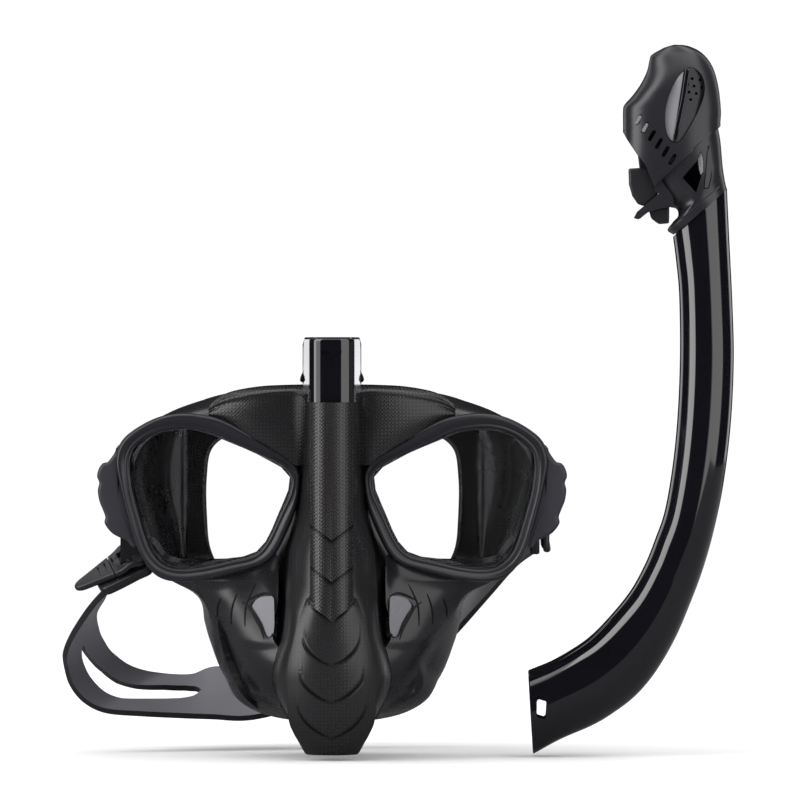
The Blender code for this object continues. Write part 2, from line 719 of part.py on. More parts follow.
def build_dry_top():
    circle = oval(16, 2.8)
    left = [(142.0, 109.0), (140.4, 117.8), (136.9, 125.6), (133.8, 129.3)]
    right = [(164.4, 127.8), (163.6, 137.0), (162.4, 147.0), (160.8, 153.4)]
    depth = [12.6, 12.9, 13.2, 13.2]
    outer = oval_rings(left, right, depth, 0.0, circle)
    inner = oval_rings(left, right, depth, CAP_WALL, circle)
    base = put("dry_top_base", *weave(outer + inner[::-1], True), "satin")
    big = [(145.4, 134.2), (152.1, 140.4), (152.9, 131.3), (152.1, 127.1)]
    thin = [(157.9, 138.8), (157.9, 131.2), (155.2, 128.7)]
    boolean(base, cutter("cut_window_a", *prism_y(big, -56, -46)))
    boolean(base, cutter("cut_window_b", *prism_y(thin, -56, -46)))

    lip = [(135.2, 124.9), (138.3, 119.9), (133, 118.3), (126.7, 114.6), (125.8, 115.4),
           (129.6, 119.6)]
    put("float_shelf", *prism_y(lip, -49.5, -30.5), "satin")
    rubber = [(131.9, 117.0), (138.4, 119.1), (138.9, 112.9), (136.7, 112.5), (134.6, 113.8)]
    put("drain_flap", *prism_y(rubber, -45, -35), "seal")

    left = [(119.0, 134.0), (120.9, 150.0), (121.2, 158.0), (126.3, 167.9), (131.7, 177.1),
            (136.5, 184.6)]
    right = [(164.5, 141.0), (162.2, 152.0), (161.7, 163.0), (159.6, 175.4), (155.0, 183.4),
             (150.0, 186.2)]
    depth = [13.4, 13.8, 13.8, 13.2, 11.0, 6.0]
    outer = oval_rings(left, right, depth, 0.0, circle)
    inner = oval_rings(left, right, depth, CAP_WALL, circle)
    top_out = [[(143.5 + (x - 143.5) * 0.35, TUBE_Y + (y - TUBE_Y) * 0.3, 187.6)
                for x, y, z in outer[-1]]]
    rings = [inner[k] for k in (4, 3, 2, 1, 0)] + outer + top_out
    cap = put("dry_top_cap", *fan_caps(rings), "satin")
    trim = [(168.5, 161.8), (133.2, 129.4), (136.3, 125.8),
            (134.6, 130.4), (131.7, 136.7), (128.3, 140.8), (125.0, 145.0), (122.5, 148.8),
            (121.3, 152.1), (110.0, 152.1), (110.0, 120.0), (172.0, 120.0), (172.0, 163.0)]
    boolean(cap, cutter("cut_cap_trim", *prism_y(trim, -60, -20)))
    for k in range(6):
        x = 128.3 + 2.84 * k
        z = 157.1 - 3.3 * k
        d = np.array([0.574, 0.819])
        n = np.array([0.819, -0.574])
        c = np.array([x, z])
        pts = [c + d * a * 2.5 + n * b * 0.95 for a, b in ((-1, -1), (1, -1), (1, 1), (-1, 1))]
        boolean(cap, cutter("cut_slot_%d" % k, *prism_y(pts, -56, -46)))
    recess = spline([(148.5, 178), (154.5, 170), (152.5, 158), (145.5, 147.5), (140.5, 152),
                     (141.5, 168)], 14, closed=True)
    boolean(cap, cutter("cut_recess", *prism_y(recess, -58, -47.0)))
    mid = recess.mean(axis=0)
    small = mid + (recess - mid) * 0.93
    put("vent_panel", *prism_y(small, -53.4, -51.4), "satin")


def build_float():
    pivot = FLOAT_PIVOT
    block = [(123.7, 135.9), (130.6, 136.6), (134.4, 127.6), (129.3, 121.4), (127.2, 123.3),
             (125.1, 128.1)]
    put("float_block", *prism_y(block, -46.5, -33.5, 1.2), "satin", origin=pivot)
    arm = [(128.6, 137.0), (130.7, 137.0), (130.7, 141.4), (144.0, 145.2), (152.0, 148.0),
           (151.4, 149.6), (143.4, 147.0), (129.0, 143.2)]
    put("float_arm", *prism_y(arm, -42.5, -37.5), "inner", origin=pivot)
    put("float_seal", *disc((153.6, -40.0, 146.0), (-0.3, 0.0, 1.0), 3.6, 1.4), "seal",
        origin=pivot)
    px, py, pz = pivot
    for name, a, b in (("float_pin_front", -48.5, -42.9), ("float_pin_rear", -37.1, -31.5)):
        put(name, *rod((px, a, pz), (px, b, pz), 1.2, 8), "steel")
    put("seat_ring", *disc((153.0, -40.0, 139.4), (-0.05, 0.0, 1.0), 5.0, 2.0, hole=2.6),
        "inner")


build_lenses()
build_skirt()
build_pocket()
build_brow()
build_covers()
build_duct()
build_nose_frame()
build_spigot()
build_lugs()
build_harness()
build_strap()
build_tube()
build_dry_top()
build_float()
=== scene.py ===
import json
import math

import bmesh
import bpy
import numpy as np
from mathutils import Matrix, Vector


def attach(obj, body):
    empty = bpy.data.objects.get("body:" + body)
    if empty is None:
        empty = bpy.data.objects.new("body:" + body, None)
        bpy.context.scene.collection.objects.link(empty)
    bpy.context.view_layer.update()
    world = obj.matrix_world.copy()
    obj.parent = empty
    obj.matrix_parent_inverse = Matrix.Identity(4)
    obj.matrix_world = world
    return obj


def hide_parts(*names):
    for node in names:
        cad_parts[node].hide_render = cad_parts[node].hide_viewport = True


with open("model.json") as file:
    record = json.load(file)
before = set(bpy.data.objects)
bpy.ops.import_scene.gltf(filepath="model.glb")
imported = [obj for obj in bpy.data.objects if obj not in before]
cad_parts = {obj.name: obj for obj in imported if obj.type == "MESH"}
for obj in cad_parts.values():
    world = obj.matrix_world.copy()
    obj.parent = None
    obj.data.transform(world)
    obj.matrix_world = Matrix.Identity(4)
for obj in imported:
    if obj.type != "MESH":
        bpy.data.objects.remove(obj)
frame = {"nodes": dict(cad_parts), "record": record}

MM = 0.001
TUBE_Y = -40.0          # middle of the snorkel tube, front to back, mm
PIVOT_Y, PIVOT_Z = -34, -15  # the strap's pins
STRAP_THICK = 2.6
SKIRT_WALL = 2.3
FLOOR_Z, FLOOR_HALF = -109.2, 900
CAMERA_DISTANCE = 6.0   # m
FRAME_WIDTH = 0.3333    # m seen across the picture
DEGREES = 57.29578
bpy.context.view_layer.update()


# ------------------------------------------------------------------ helpers
def spline(points, count, closed=False, even=True):
    pts = np.array(points, float)
    n = len(pts)
    spans = n if closed else n - 1
    fine = []
    for i in range(spans):
        if closed:
            p0, p1, p2, p3 = (pts[(i + k) % n] for k in (-1, 0, 1, 2))
        else:
            p1, p2 = pts[i], pts[i + 1]
            p0 = pts[i - 1] if i > 0 else 2 * p1 - p2
            p3 = pts[i + 2] if i + 2 < n else 2 * p2 - p1
        t = np.linspace(0.0, 1.0, 40, endpoint=False)[:, None]
        fine.append(0.5 * (2 * p1 + (p2 - p0) * t + (2 * p0 - 5 * p1 + 4 * p2 - p3) * t ** 2
                           + (3 * p1 - p0 - 3 * p2 + p3) * t ** 3))
    fine = np.concatenate(fine + [pts[:1] if closed else pts[-1:]])
    if even:
        run = np.concatenate([[0.0], np.cumsum(np.linalg.norm(np.diff(fine, axis=0), axis=1))])
        run /= run[-1]
    else:
        run = np.linspace(0.0, 1.0, len(fine))
    want = np.linspace(0.0, 1.0, count, endpoint=not closed)
    return np.stack([np.interp(want, run, fine[:, k]) for k in range(pts.shape[1])], 1)


def curve(table, x):
    """Smooth value through (x, value) pairs."""
    t = np.array(table, float)
    t = t[np.argsort(t[:, 0])]
    fine = spline(t, 40 * len(t), even=False)
    return np.interp(x, fine[:, 0], fine[:, 1])


def oval(count, power=2.0, start=0.0):
    ang = np.linspace(0.0, 2 * math.pi, count, endpoint=False) + start
    c, s = np.cos(ang), np.sin(ang)
    k = 2.0 / power
    return np.stack([np.sign(c) * np.abs(c) ** k, np.sign(s) * np.abs(s) ** k], 1)


def smooth(e0, e1, x):
    t = np.clip((np.asarray(x, float) - e0) / (e1 - e0), 0.0, 1.0)
    return t * t * (3 - 2 * t)


def loft(rings, closed=False, caps=True, fan=False):
    rings = [np.array(r, float) for r in rings]
    m, n = len(rings[0]), len(rings)
    verts = np.concatenate(rings)
    i = np.arange(n if closed else n - 1)[:, None]
    j = np.arange(m)[None, :]
    a, b = i * m, ((i + 1) % n) * m
    k = (j + 1) % m
    faces = np.stack([a + j, a + k, b + k, b + j], -1).reshape(-1, 4).tolist()
    if not closed and caps:
        if fan:
            mids = []
            for start, ring in ((0, rings[0]), ((n - 1) * m, rings[-1])):
                mid = len(verts) + len(mids)
                mids.append(ring.mean(axis=0))
                faces += [(start + q, start + (q + 1) % m, mid) for q in range(m)]
            verts = np.concatenate([verts, np.array(mids)])
        else:
            faces += [tuple(range(m - 1, -1, -1)), tuple((n - 1) * m + q for q in range(m))]
    return verts, faces


def normals_of(g, closed_u):
    du = (np.roll(g, -1, 0) - np.roll(g, 1, 0)) if closed_u else np.gradient(g, axis=0)
    n = np.cross(du, np.gradient(g, axis=1))
    return n / np.maximum(np.linalg.norm(n, axis=2, keepdims=True), 1e-9)


def shell(g, wall, closed_u=True):
    back = g + normals_of(g, closed_u) * (wall if np.isscalar(wall) else wall[..., None])
    return loft([np.concatenate([g[i], back[i][::-1]]) for i in range(len(g))], closed_u)


def backed(front, deep, narrow):
    """Row of points with its own back row behind it, a little narrower."""
    inner = front.copy()
    inner[:, 1] += deep
    inner[:, 0] *= narrow
    return np.concatenate([front, inner[::-1]])


def put(name, vf, mat, body, swap=(), sharp=38, flat=False, painted_shade=None):
    verts, faces = vf
    mesh = bpy.data.meshes.new(name)
    mesh.from_pydata((np.array(verts, float) * MM).tolist(), [], faces)
    # Per-vertex painted shade, kept as a mesh attribute that the materials read to darken grooves, steps,
    # recesses and shaded stretches of the strap.
    if painted_shade is not None:
        att = mesh.attributes.new("painted_shade_mask", "FLOAT", "POINT")
        att.data.foreach_set("value", np.clip(painted_shade, 0, 1).astype(np.float32))
    mesh.validate()
    bm = bmesh.new()
    bm.from_mesh(mesh)
    bmesh.ops.remove_doubles(bm, verts=bm.verts[:], dist=2e-6)
    bmesh.ops.recalc_face_normals(bm, faces=bm.faces[:])
    bm.to_mesh(mesh)
    bm.free()
    obj = bpy.data.objects.new(name, mesh)
    bpy.context.scene.collection.objects.link(obj)
    mesh.materials.append(MAT[mat])
    if not flat:
        mesh.shade_smooth()
        mesh.set_sharp_from_angle(angle=math.radians(sharp))
    if body:
        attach(obj, body)
    if swap:
        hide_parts(*swap)
    return obj


# Painted shade: where the mesh's shade attribute is set, the base colour is mixed towards near-black and the
# specular is lowered.
def paint_shade_from_mask(tree, bsdf, amount=0.9):
    att = node(tree, "ShaderNodeAttribute", attribute_name="painted_shade_mask")
    keep = math_node(tree, "SUBTRACT", 1.0, mul(tree, att.outputs["Fac"], amount), clamp=True)
    tree.links.new(mul(tree, keep, 0.5), bsdf.inputs["Specular IOR Level"])
    mix = node(tree, "ShaderNodeMix", data_type="RGBA")
    mix.inputs[6].default_value = (0.001, 0.001, 0.0012, 1)
    tree.links.new(keep, mix.inputs[0])
    tree.links.new(bsdf.inputs["Base Color"].links[0].from_socket, mix.inputs[7])
    tree.links.new(mix.outputs[2], bsdf.inputs["Base Color"])


def mirror(vf):
    verts = np.array(vf[0], float).copy()
    verts[:, 0] *= -1
    return verts, vf[1]


SIDES = (("left", mirror), ("right", lambda q: q))


def tool(vf):
    return put("tool", vf, "inner", None, flat=True)


def carve(obj, tools, kind="DIFFERENCE"):
    for t in tools:
        mod = obj.modifiers.new("cut", "BOOLEAN")
        mod.operation = kind
        mod.solver = "EXACT"
        mod.object = t
    deps = bpy.context.evaluated_depsgraph_get()
    done = bpy.data.meshes.new_from_object(obj.evaluated_get(deps))
    if len(done.polygons) < 6:
        raise RuntimeError("the cut leaves nothing of " + obj.name)
    obj.modifiers.clear()
    old = obj.data
    obj.data = done
    bpy.data.meshes.remove(old)
    for t in tools:
        bpy.data.objects.remove(t)
    done.shade_smooth()
    done.set_sharp_from_angle(angle=math.radians(34))
    return obj


def bevel(obj, width, segments=3, angle=35):
    mod = obj.modifiers.new("bevel", "BEVEL")
    mod.width = width * MM
    mod.segments = segments
    mod.limit_method = "ANGLE"
    mod.angle_limit = math.radians(angle)
    mod.harden_normals = False
    return obj


def prism_y(outline, y0, y1):
    pts = np.array(outline, float)
    return loft([[(x, y, z) for x, z in pts] for y in (y0, y1)])


def box(lo, hi):
    ring = [(lo[0], lo[1]), (hi[0], lo[1]), (hi[0], hi[1]), (lo[0], hi[1])]
    return loft([[(x, y, z) for x, y in ring] for z in (lo[2], hi[2])])


def rod(a, b, radius, sides=28):
    a, b = np.array(a, float), np.array(b, float)
    axis = (b - a) / np.linalg.norm(b - a)
    side = np.cross(axis, (0, 0, 1.0))
    if np.linalg.norm(side) < 0.1:
        side = np.cross(axis, (0, 1.0, 0))
    side /= np.linalg.norm(side)
    up = np.cross(axis, side)
    c = oval(sides)
    return loft([[p + radius * (side * u + up * v) for u, v in c] for p in (a, b)])


def rounded(outline, y0, y1, r, steps=5, count=90, even=True, k=1.0):
    """Closed outline in X-Z given depth with rounded front and back edges."""
    loop = spline(outline, count, closed=True) if even else np.array(outline, float)
    t = np.roll(loop, -1, 0) - np.roll(loop, 1, 0)
    n = np.stack([t[:, 1], -t[:, 0]], 1)
    n /= np.linalg.norm(n, axis=1, keepdims=True)
    if np.sum(n * (loop - loop.mean(axis=0))) < 0:
        n = -n
    rings = []
    for a in np.linspace(0, math.pi / 2, steps):
        p = loop - n * r * (1 - math.sin(a)) * k
        rings.append([(x, y0 + r * (1 - math.cos(a)), z) for x, z in p])
    for a in np.linspace(math.pi / 2, 0, steps):
        p = loop - n * r * (1 - math.sin(a)) * k
        rings.append([(x, y1 - r * (1 - math.cos(a)), z) for x, z in p])
    return loft(rings, fan=True)


# ------------------------------------------------------------------ materials
def node(tree, kind, **values):
    n = tree.nodes.new(kind)
    for key, v in values.items():
        setattr(n, key, v)
    return n


def math_node(tree, op, a, b=None, c=None, clamp=False):
    n = node(tree, "ShaderNodeMath", operation=op, use_clamp=clamp)
    for i, v in enumerate((a, b, c)):
        if v is None:
            continue
        if isinstance(v, (int, float)):
            n.inputs[i].default_value = v
        else:
            tree.links.new(v, n.inputs[i])
    return n.outputs[0]


def mul(tree, a, b, clamp=False):
    return math_node(tree, "MULTIPLY", a, b, clamp=clamp)


def base_material(name, color, rough, coat=0.0, coat_rough=0.05, ior=1.47):
    mat = bpy.data.materials.new(name)
    mat.use_nodes = True
    bsdf = mat.node_tree.nodes["Principled BSDF"]
    bsdf.inputs["Base Color"].default_value = (*color, 1)
    bsdf.inputs["Roughness"].default_value = rough
    bsdf.inputs["IOR"].default_value = ior
    bsdf.inputs["Coat Weight"].default_value = coat
    bsdf.inputs["Coat Roughness"].default_value = coat_rough
    return mat, mat.node_tree, bsdf


def moulded(name, color, rough, spread=0.08, grain=0.0, scale=900, wave=0.0, coat=0.0,
            coat_rough=0.1, tint=0.25, painted_shade_on=False):
    """Moulded plastic or silicone: uneven sheen, fine grain, slow waviness, handling marks."""
    mat, tree, bsdf = base_material(name, color, rough, coat, coat_rough)
    pos = node(tree, "ShaderNodeTexCoord").outputs["Object"]
    slow = node(tree, "ShaderNodeTexNoise")
    slow.inputs["Scale"].default_value = 38
    slow.inputs["Detail"].default_value = 1.2
    tree.links.new(pos, slow.inputs["Vector"])
    fine = node(tree, "ShaderNodeTexNoise")
    fine.inputs["Scale"].default_value = scale
    fine.inputs["Detail"].default_value = 3
    tree.links.new(pos, fine.inputs["Vector"])
    s = slow.outputs["Fac"]
    f = fine.outputs["Fac"]
    r = math_node(tree, "MULTIPLY_ADD", math_node(tree, "SUBTRACT", s, 0.5), spread * 2, rough)
    r = math_node(tree, "MULTIPLY_ADD", math_node(tree, "SUBTRACT", f, 0.5), spread, r)
    tree.links.new(r, bsdf.inputs["Roughness"])
    mix = node(tree, "ShaderNodeMix", data_type="RGBA")
    mix.inputs[6].default_value = (*[c * (1 - tint) for c in color], 1)
    mix.inputs[7].default_value = (*[c * (1 + tint) for c in color], 1)
    tree.links.new(s, mix.inputs[0])
    tree.links.new(mix.outputs[2], bsdf.inputs["Base Color"])
    last = None
    for strength, dist, src in ((wave, 0.0012, s), (grain, 0.00008, f)):
        if strength <= 0:
            continue
        bump = node(tree, "ShaderNodeBump")
        bump.inputs["Strength"].default_value = strength
        bump.inputs["Distance"].default_value = dist
        tree.links.new(src, bump.inputs["Height"])
        if last is not None:
            tree.links.new(last, bump.inputs["Normal"])
        last = bump.outputs["Normal"]
    if last is not None:
        tree.links.new(last, bsdf.inputs["Normal"])
    # Optional painted shade, read from the mesh's shade attribute.
    if painted_shade_on:
        paint_shade_from_mask(tree, bsdf)
    return mat


def woven(name, pitch_mm, color, rough, relief, sheen=0.16, flank=False):
    """Twill print: warp and weft cells in the X-Z plane, two over and two under."""
    mat, tree, bsdf = base_material(name, color, rough)
    pos = node(tree, "ShaderNodeTexCoord").outputs["Object"]
    sep = node(tree, "ShaderNodeSeparateXYZ")
    tree.links.new(pos, sep.inputs[0])
    k = 1000.0 / pitch_mm
    ax = math_node(tree, "ABSOLUTE", sep.outputs["X"])
    u = mul(tree, math_node(tree, "ADD", ax, sep.outputs["Z"]), k * 0.7071)
    v = mul(tree, math_node(tree, "SUBTRACT", ax, sep.outputs["Z"]), k * 0.7071)
    cells = math_node(tree, "ADD", math_node(tree, "FLOOR", u), math_node(tree, "FLOOR", v))
    over = math_node(tree, "LESS_THAN", math_node(tree, "FLOORED_MODULO", cells, 2.0), 0.5)
    hu = math_node(tree, "SINE", mul(tree, math_node(tree, "FRACT", u), math.pi))
    hv = math_node(tree, "SINE", mul(tree, math_node(tree, "FRACT", v), math.pi))
    mixh = node(tree, "ShaderNodeMix", data_type="FLOAT")
    tree.links.new(over, mixh.inputs[0])
    tree.links.new(mul(tree, hv, math_node(tree, "POWER", hu, 0.35)), mixh.inputs[2])
    tree.links.new(mul(tree, hu, math_node(tree, "POWER", hv, 0.35)), mixh.inputs[3])
    height = mixh.outputs[0]
    print_on = 1.0
    if flank:
        side = node(tree, "ShaderNodeSeparateXYZ")
        tree.links.new(node(tree, "ShaderNodeTexCoord").outputs["Normal"], side.inputs[0])
        fade = node(tree, "ShaderNodeMapRange", interpolation_type="SMOOTHSTEP")
        tree.links.new(math_node(tree, "ABSOLUTE", side.outputs["X"]), fade.inputs[0])
        for k, v in enumerate((0.2, 0.42, 1.0, 0.12)):
            fade.inputs[k + 1].default_value = v
        print_on = fade.outputs[0]
    noise = node(tree, "ShaderNodeTexNoise")
    noise.inputs["Scale"].default_value = 55
    tree.links.new(pos, noise.inputs["Vector"])
    mix = node(tree, "ShaderNodeMix", data_type="RGBA")
    mix.inputs[6].default_value = (*[c * 0.62 for c in color], 1)
    mix.inputs[7].default_value = (*[c * 1.4 for c in color], 1)
    tone = math_node(tree, "MULTIPLY_ADD", over, 0.5, mul(tree, height, 0.5))
    tree.links.new(mul(tree, tone, 1.0, clamp=True), mix.inputs[0])
    tree.links.new(mix.outputs[2], bsdf.inputs["Base Color"])
    swing = mul(tree, math_node(tree, "SUBTRACT", over, 0.5), print_on)
    r = math_node(tree, "MULTIPLY_ADD", swing, -sheen, rough)
    r = math_node(tree, "MULTIPLY_ADD", math_node(tree, "SUBTRACT", noise.outputs["Fac"], 0.5), 0.2, r)
    tree.links.new(r, bsdf.inputs["Roughness"])
    bump = node(tree, "ShaderNodeBump")
    tree.links.new(mul(tree, print_on, relief), bump.inputs["Strength"])
    bump.inputs["Distance"].default_value = 0.00016
    # Painted shade from the mesh's shade attribute: under the spine's steps, in the cover's grooves and in the
    # ridge's channel.
    paint_shade_from_mask(tree, bsdf)
    tree.links.new(height, bump.inputs["Height"])
    tree.links.new(bump.outputs["Normal"], bsdf.inputs["Normal"])
    return mat


def glass_material():
    mat, _, bsdf = base_material("clear_pane", (0.975, 0.982, 1.0), 0.0, ior=1.12)
    bsdf.inputs["Transmission Weight"].default_value = 1.0
    return mat


def metallic(mat):
    mat.node_tree.nodes["Principled BSDF"].inputs["Metallic"].default_value = 1.0
    return mat


def steel_material():
    mat = moulded("pin_steel", (0.45, 0.45, 0.47), 0.3, spread=0.12, grain=0.2, scale=1500)
    return metallic(mat)


MAT = {
    "silicone": moulded("silicone_gloss", (0.012, 0.0116, 0.0138), 0.27, spread=0.06, grain=0.05, wave=0.05,
                        painted_shade_on=True),
    # Pale silicone for the plates on the cheeks: a painted highlight, not the skirt's own colour.
    "facet": moulded("silicone_painted_highlight", (0.13, 0.127, 0.14), 0.26, spread=0.06, grain=0.05, wave=0.03),
    "skirt_in": moulded("silicone_matte", (0.006, 0.0058, 0.0075), 0.36, spread=0.08, grain=0.2, wave=0.12),
    "bezel": moulded("frame_satin", (0.011, 0.0105, 0.0145), 0.32, spread=0.07, grain=0.25, scale=1400),
    "lug": moulded("lug_rubber", (0.022, 0.021, 0.029), 0.46, spread=0.08, grain=0.4, scale=1600),
    "weave": woven("woven_print", 1.08, (0.012, 0.0106, 0.0113), 0.27, 0.42),
    "weave_low": woven("woven_cover", 1.08, (0.012, 0.0110, 0.0122), 0.31, 0.26, 0.10, True),
    "weave_brow": woven("woven_brow", 1.08, (0.0085, 0.0080, 0.0090), 0.27, 0.3, 0.12),
    "weave_fine": woven("woven_wall", 1.08, (0.011, 0.0104, 0.0116), 0.33, 0.05, 0.04),
    # Bright metal finish for the spigot's side faces: a painted reflection on black plastic.
    "mirror": metallic(moulded("gloss_painted_reflection", (0.8, 0.8, 0.83), 0.1, spread=0.02)),
    "gloss": moulded("gloss_black", (0.004, 0.004, 0.006), 0.07, spread=0.02, wave=0.02, coat=0.6,
                     coat_rough=0.03),
    "satin": moulded("top_satin", (0.015, 0.0145, 0.018), 0.29, spread=0.08, grain=0.4, scale=1700),
    # Pale satin for dry-top facets turned to the light: a painted highlight, not the top's own colour.
    "pale": moulded("top_satin_painted_highlight", (0.19, 0.185, 0.197), 0.3, spread=0.08, grain=0.4, scale=1700),
    "inner": moulded("inner_plastic", (0.016, 0.016, 0.02), 0.5, spread=0.08, grain=0.3),
    # Strap face: the base colour is partly the strap's own grey and partly painted sheen standing in for its
    # grazing reflection.
    "strap": moulded("strap_grey_and_painted_sheen", (0.14, 0.136, 0.155), 0.4, spread=0.07, grain=0.25, scale=1300,
                     painted_shade_on=True),
    # Near-black copy of the strap material for the band's edges: painted shadow.
    "strap_edge": moulded("strap_edge", (0.010, 0.0097, 0.012), 0.4, spread=0.07, grain=0.2, scale=1300),
    "buckle": moulded("buckle_plastic", (0.010, 0.0095, 0.012), 0.33, spread=0.08, grain=0.25, scale=1300),
    "seal": moulded("soft_seal", (0.012, 0.012, 0.015), 0.4, spread=0.08, grain=0.2),
    # Near-black strips laid over the skirt's grooves and flange recess: painted groove shadow.
    "painted_groove_shadow": moulded("groove_shadow", (0.0015, 0.0015, 0.002), 0.7, spread=0.02),
    "lens": glass_material(),
    "steel": steel_material(),
}


# ------------------------------------------------------------------ lenses and bezels
GLASS = [(17, 8), (20.6, 12.4), (28.3, 16.3), (40, 21.4), (50, 26.1), (61.7, 28), (71, 26.9), (79, 22.9),
         (84, 16.3), (83.6, 4), (80, -10.4), (76.2, -21.9), (71.4, -28), (64.5, -30.4), (55, -29.8),
         (42, -27), (32.6, -24.5), (27.4, -19.4), (22, -8.3), (17.6, 1.5)]
BEZEL_OUT = [(13.4, 6.3), (14.6, 12.6), (20, 17.5), (31.5, 24.4), (43.8, 31), (52.5, 33.4), (62.5, 34.4),
             (72, 32.7), (81, 28.2), (87.6, 22.6), (90.3, 14.6), (88.6, 5), (85.6, -7.5), (82.2, -18.6),
             (78.4, -27.3), (72.6, -33.7), (64.5, -35.8), (52, -34.8), (38, -31.4), (27, -27.6),
             (22.6, -22.6), (18.6, -14.6), (15, -5)]


def lens_y(x):
    return -58.0 + 9.0 * ((np.abs(x) - 16.0) / 70.0) ** 2


def outward(loop):
    t = np.roll(loop, -1, 0) - np.roll(loop, 1, 0)
    n = np.stack([t[:, 1], -t[:, 0]], 1)
    n /= np.linalg.norm(n, axis=1, keepdims=True)
    return n if np.sum(n * (loop - loop.mean(axis=0))) > 0 else -n


def ray_width(loop, nrm, outer):
    a = outer
    b = np.roll(outer, -1, 0)
    out = []
    for p, d in zip(loop, nrm):
        e = b - a
        den = d[0] * e[:, 1] - d[1] * e[:, 0]
        den = np.where(np.abs(den) < 1e-9, 1e-9, den)
        w = a - p
        t = (w[:, 0] * e[:, 1] - w[:, 1] * e[:, 0]) / den
        s = (w[:, 0] * d[1] - w[:, 1] * d[0]) / den
        good = t[(s >= 0) & (s <= 1) & (t > 0)]
        out.append(good.min() if len(good) else 5.0)
    out = np.array(out)
    for _ in range(6):
        out = (np.roll(out, 1) + out * 2 + np.roll(out, -1)) / 4
    return out


def build_lenses():
    loop = spline(GLASS, 240, closed=True)
    nrm = outward(loop)
    wid = ray_width(loop, nrm, spline(BEZEL_OUT, 400, closed=True))
    mid = np.array([50.0, -1.0])
    rings = []
    for y_off, fracs in ((0.3, (0.02, 0.3, 0.6, 0.85, 1.0)), (2.7, (1.0, 0.85, 0.6, 0.3, 0.02))):
        for frac in fracs:
            p = mid + (loop + nrm * 1.6 - mid) * frac
            rings.append([(x, lens_y(x) + y_off, z) for x, z in p])
    pane = loft(rings, fan=True)
    prof = [(0.05, 0, 0.25), (0.0, 0, -0.6), (0.2, 0, -1.25), (0.75, 0, -1.75), (1.45, 0, -1.95),
            (1.7, 0, -1.75), (1.9, 0, -1.75), (2.15, 0, -2.05), (0, 0.62, -2.85), (0, 0.76, -3.05),
            (0, 0.88, -2.8), (0, 0.96, -2.1), (0, 1.0, -1.0), (0, 1.01, 0.6), (0, 0.99, 3.5),
            (0, 0.93, 6.0), (0, 0.8, 6.6), (2.3, 0, 6.6), (2.2, 0, 0.2)]
    rings = []
    for off, share, depth in prof:
        p = loop + nrm * (off + share * wid)[:, None]
        rings.append([(x, lens_y(x) + depth, z) for x, z in p])
    ring = loft(rings, closed=True)
    for side, f in SIDES:
        put("pane_" + side, f(pane), "lens", "mask", ["lens_" + side], sharp=50)
        put("bezel_" + side, f(ring), "bezel", "mask", ["lens_bezel_" + side], sharp=60)


# ------------------------------------------------------------------ silicone skirt
SKIRT = [
    ((0, -36, 37), (0, -33, 39.5), (0, -28, 41), (0, -22, 42), (0, -14, 42.2), (0, -5, 40.5), (0, -2, 30)),
    ((27, -44, 33), (27, -40, 36.5), (27, -34, 39), (28, -27, 40.5), (28, -16, 41), (27, -5, 40),
     (24, -1.5, 29)),
    ((50, -45.5, 29.5), (51, -42, 33), (52, -37, 35), (53, -28, 36.5), (52, -16, 37), (50, -4, 36),
     (42, -1, 26)),
    ((73, -42.5, 25.5), (74, -39, 27), (74.5, -34, 27.5), (73.5, -26, 27.5), (71, -15, 27.5), (66, -4, 26),
     (52, 0, 19)),
    ((83, -41, 10), (82.5, -37, 10), (81.5, -31, 10), (79, -24, 9.5), (75.5, -14, 9), (70, -4, 8),
     (54.5, 0, 6)),
    ((77.5, -42, -12), (77.2, -37, -12), (76.5, -31, -12), (74.5, -24, -12), (71.5, -14, -12), (67, -4, -12),
     (54.5, 0, -10)),
    ((68, -44, -30), (68.5, -40, -32), (69, -33, -33), (68, -25, -33.5), (65.5, -14, -33), (62, -4, -32),
     (53, 0, -24)),
    ((54, -48, -32), (55.5, -45, -36.5), (56, -39, -40), (55.8, -32, -43), (55.5, -20, -44), (54.5, -6, -42),
     (48, 0, -36)),
    ((36, -54, -31), (41, -55, -37), (48.5, -49, -46), (51.4, -38, -52), (53.4, -22, -54), (50.5, -6, -55),
     (41, 0, -50)),
    ((23.6, -58, -29), (30, -60.5, -39), (40.5, -56, -53.5), (46, -42, -60), (51, -24, -62), (46, -8, -68),
     (35, -1, -60)),
    ((22.4, -58.5, -43), (26.4, -62.5, -51.5), (33.5, -59, -64), (39.5, -46, -70), (45.6, -28, -75),
     (38, -10, -83), (27, -2, -69)),
    ((23.4, -59, -61), (27, -62, -67), (30.5, -58, -77), (33, -47, -84), (35, -30, -89), (24, -12, -92.5),
     (17, -3, -76)),
    ((0, -54, -78), (0, -54, -84), (0, -50, -90), (0, -42, -93.5), (0, -28, -95), (0, -13, -95),
     (0, -3, -79)),
]
GILLS = [[(31.8, -36.6), (33.6, -40.2), (35.6, -45.0), (36.2, -49.5), (36.3, -54.2)],
         [(39.6, -40.6), (41.2, -45.2), (42.0, -49.5), (42.1, -53.6)],
         [(46.4, -42.8), (47.6, -46.6), (48.0, -50.8)]]
PATCH = [(24.4, -42.0), (27.0, -41.6), (30.4, -42.4), (33.8, -45.6), (31.6, -49.4), (29.4, -53.4),
         (27.6, -58.2),
         (25.0, -58.6), (24.0, -54.0), (24.0, -47.0)]
PATCH_LINES = [[(24.0, -41.4), (27.4, -40.4), (31.0, -41.4), (35.0, -43.4)],
               [(37.6, -44.0), (34.6, -46.2), (32.0, -50.4), (29.6, -55.0), (28.2, -59.6)]]
CREASE = [(22.0, -61.5), (26.0, -61.8), (32.0, -61.9), (38.0, -60.8), (44.0, -57.4), (49.5, -51.0),
          (54.0, -44.0)]
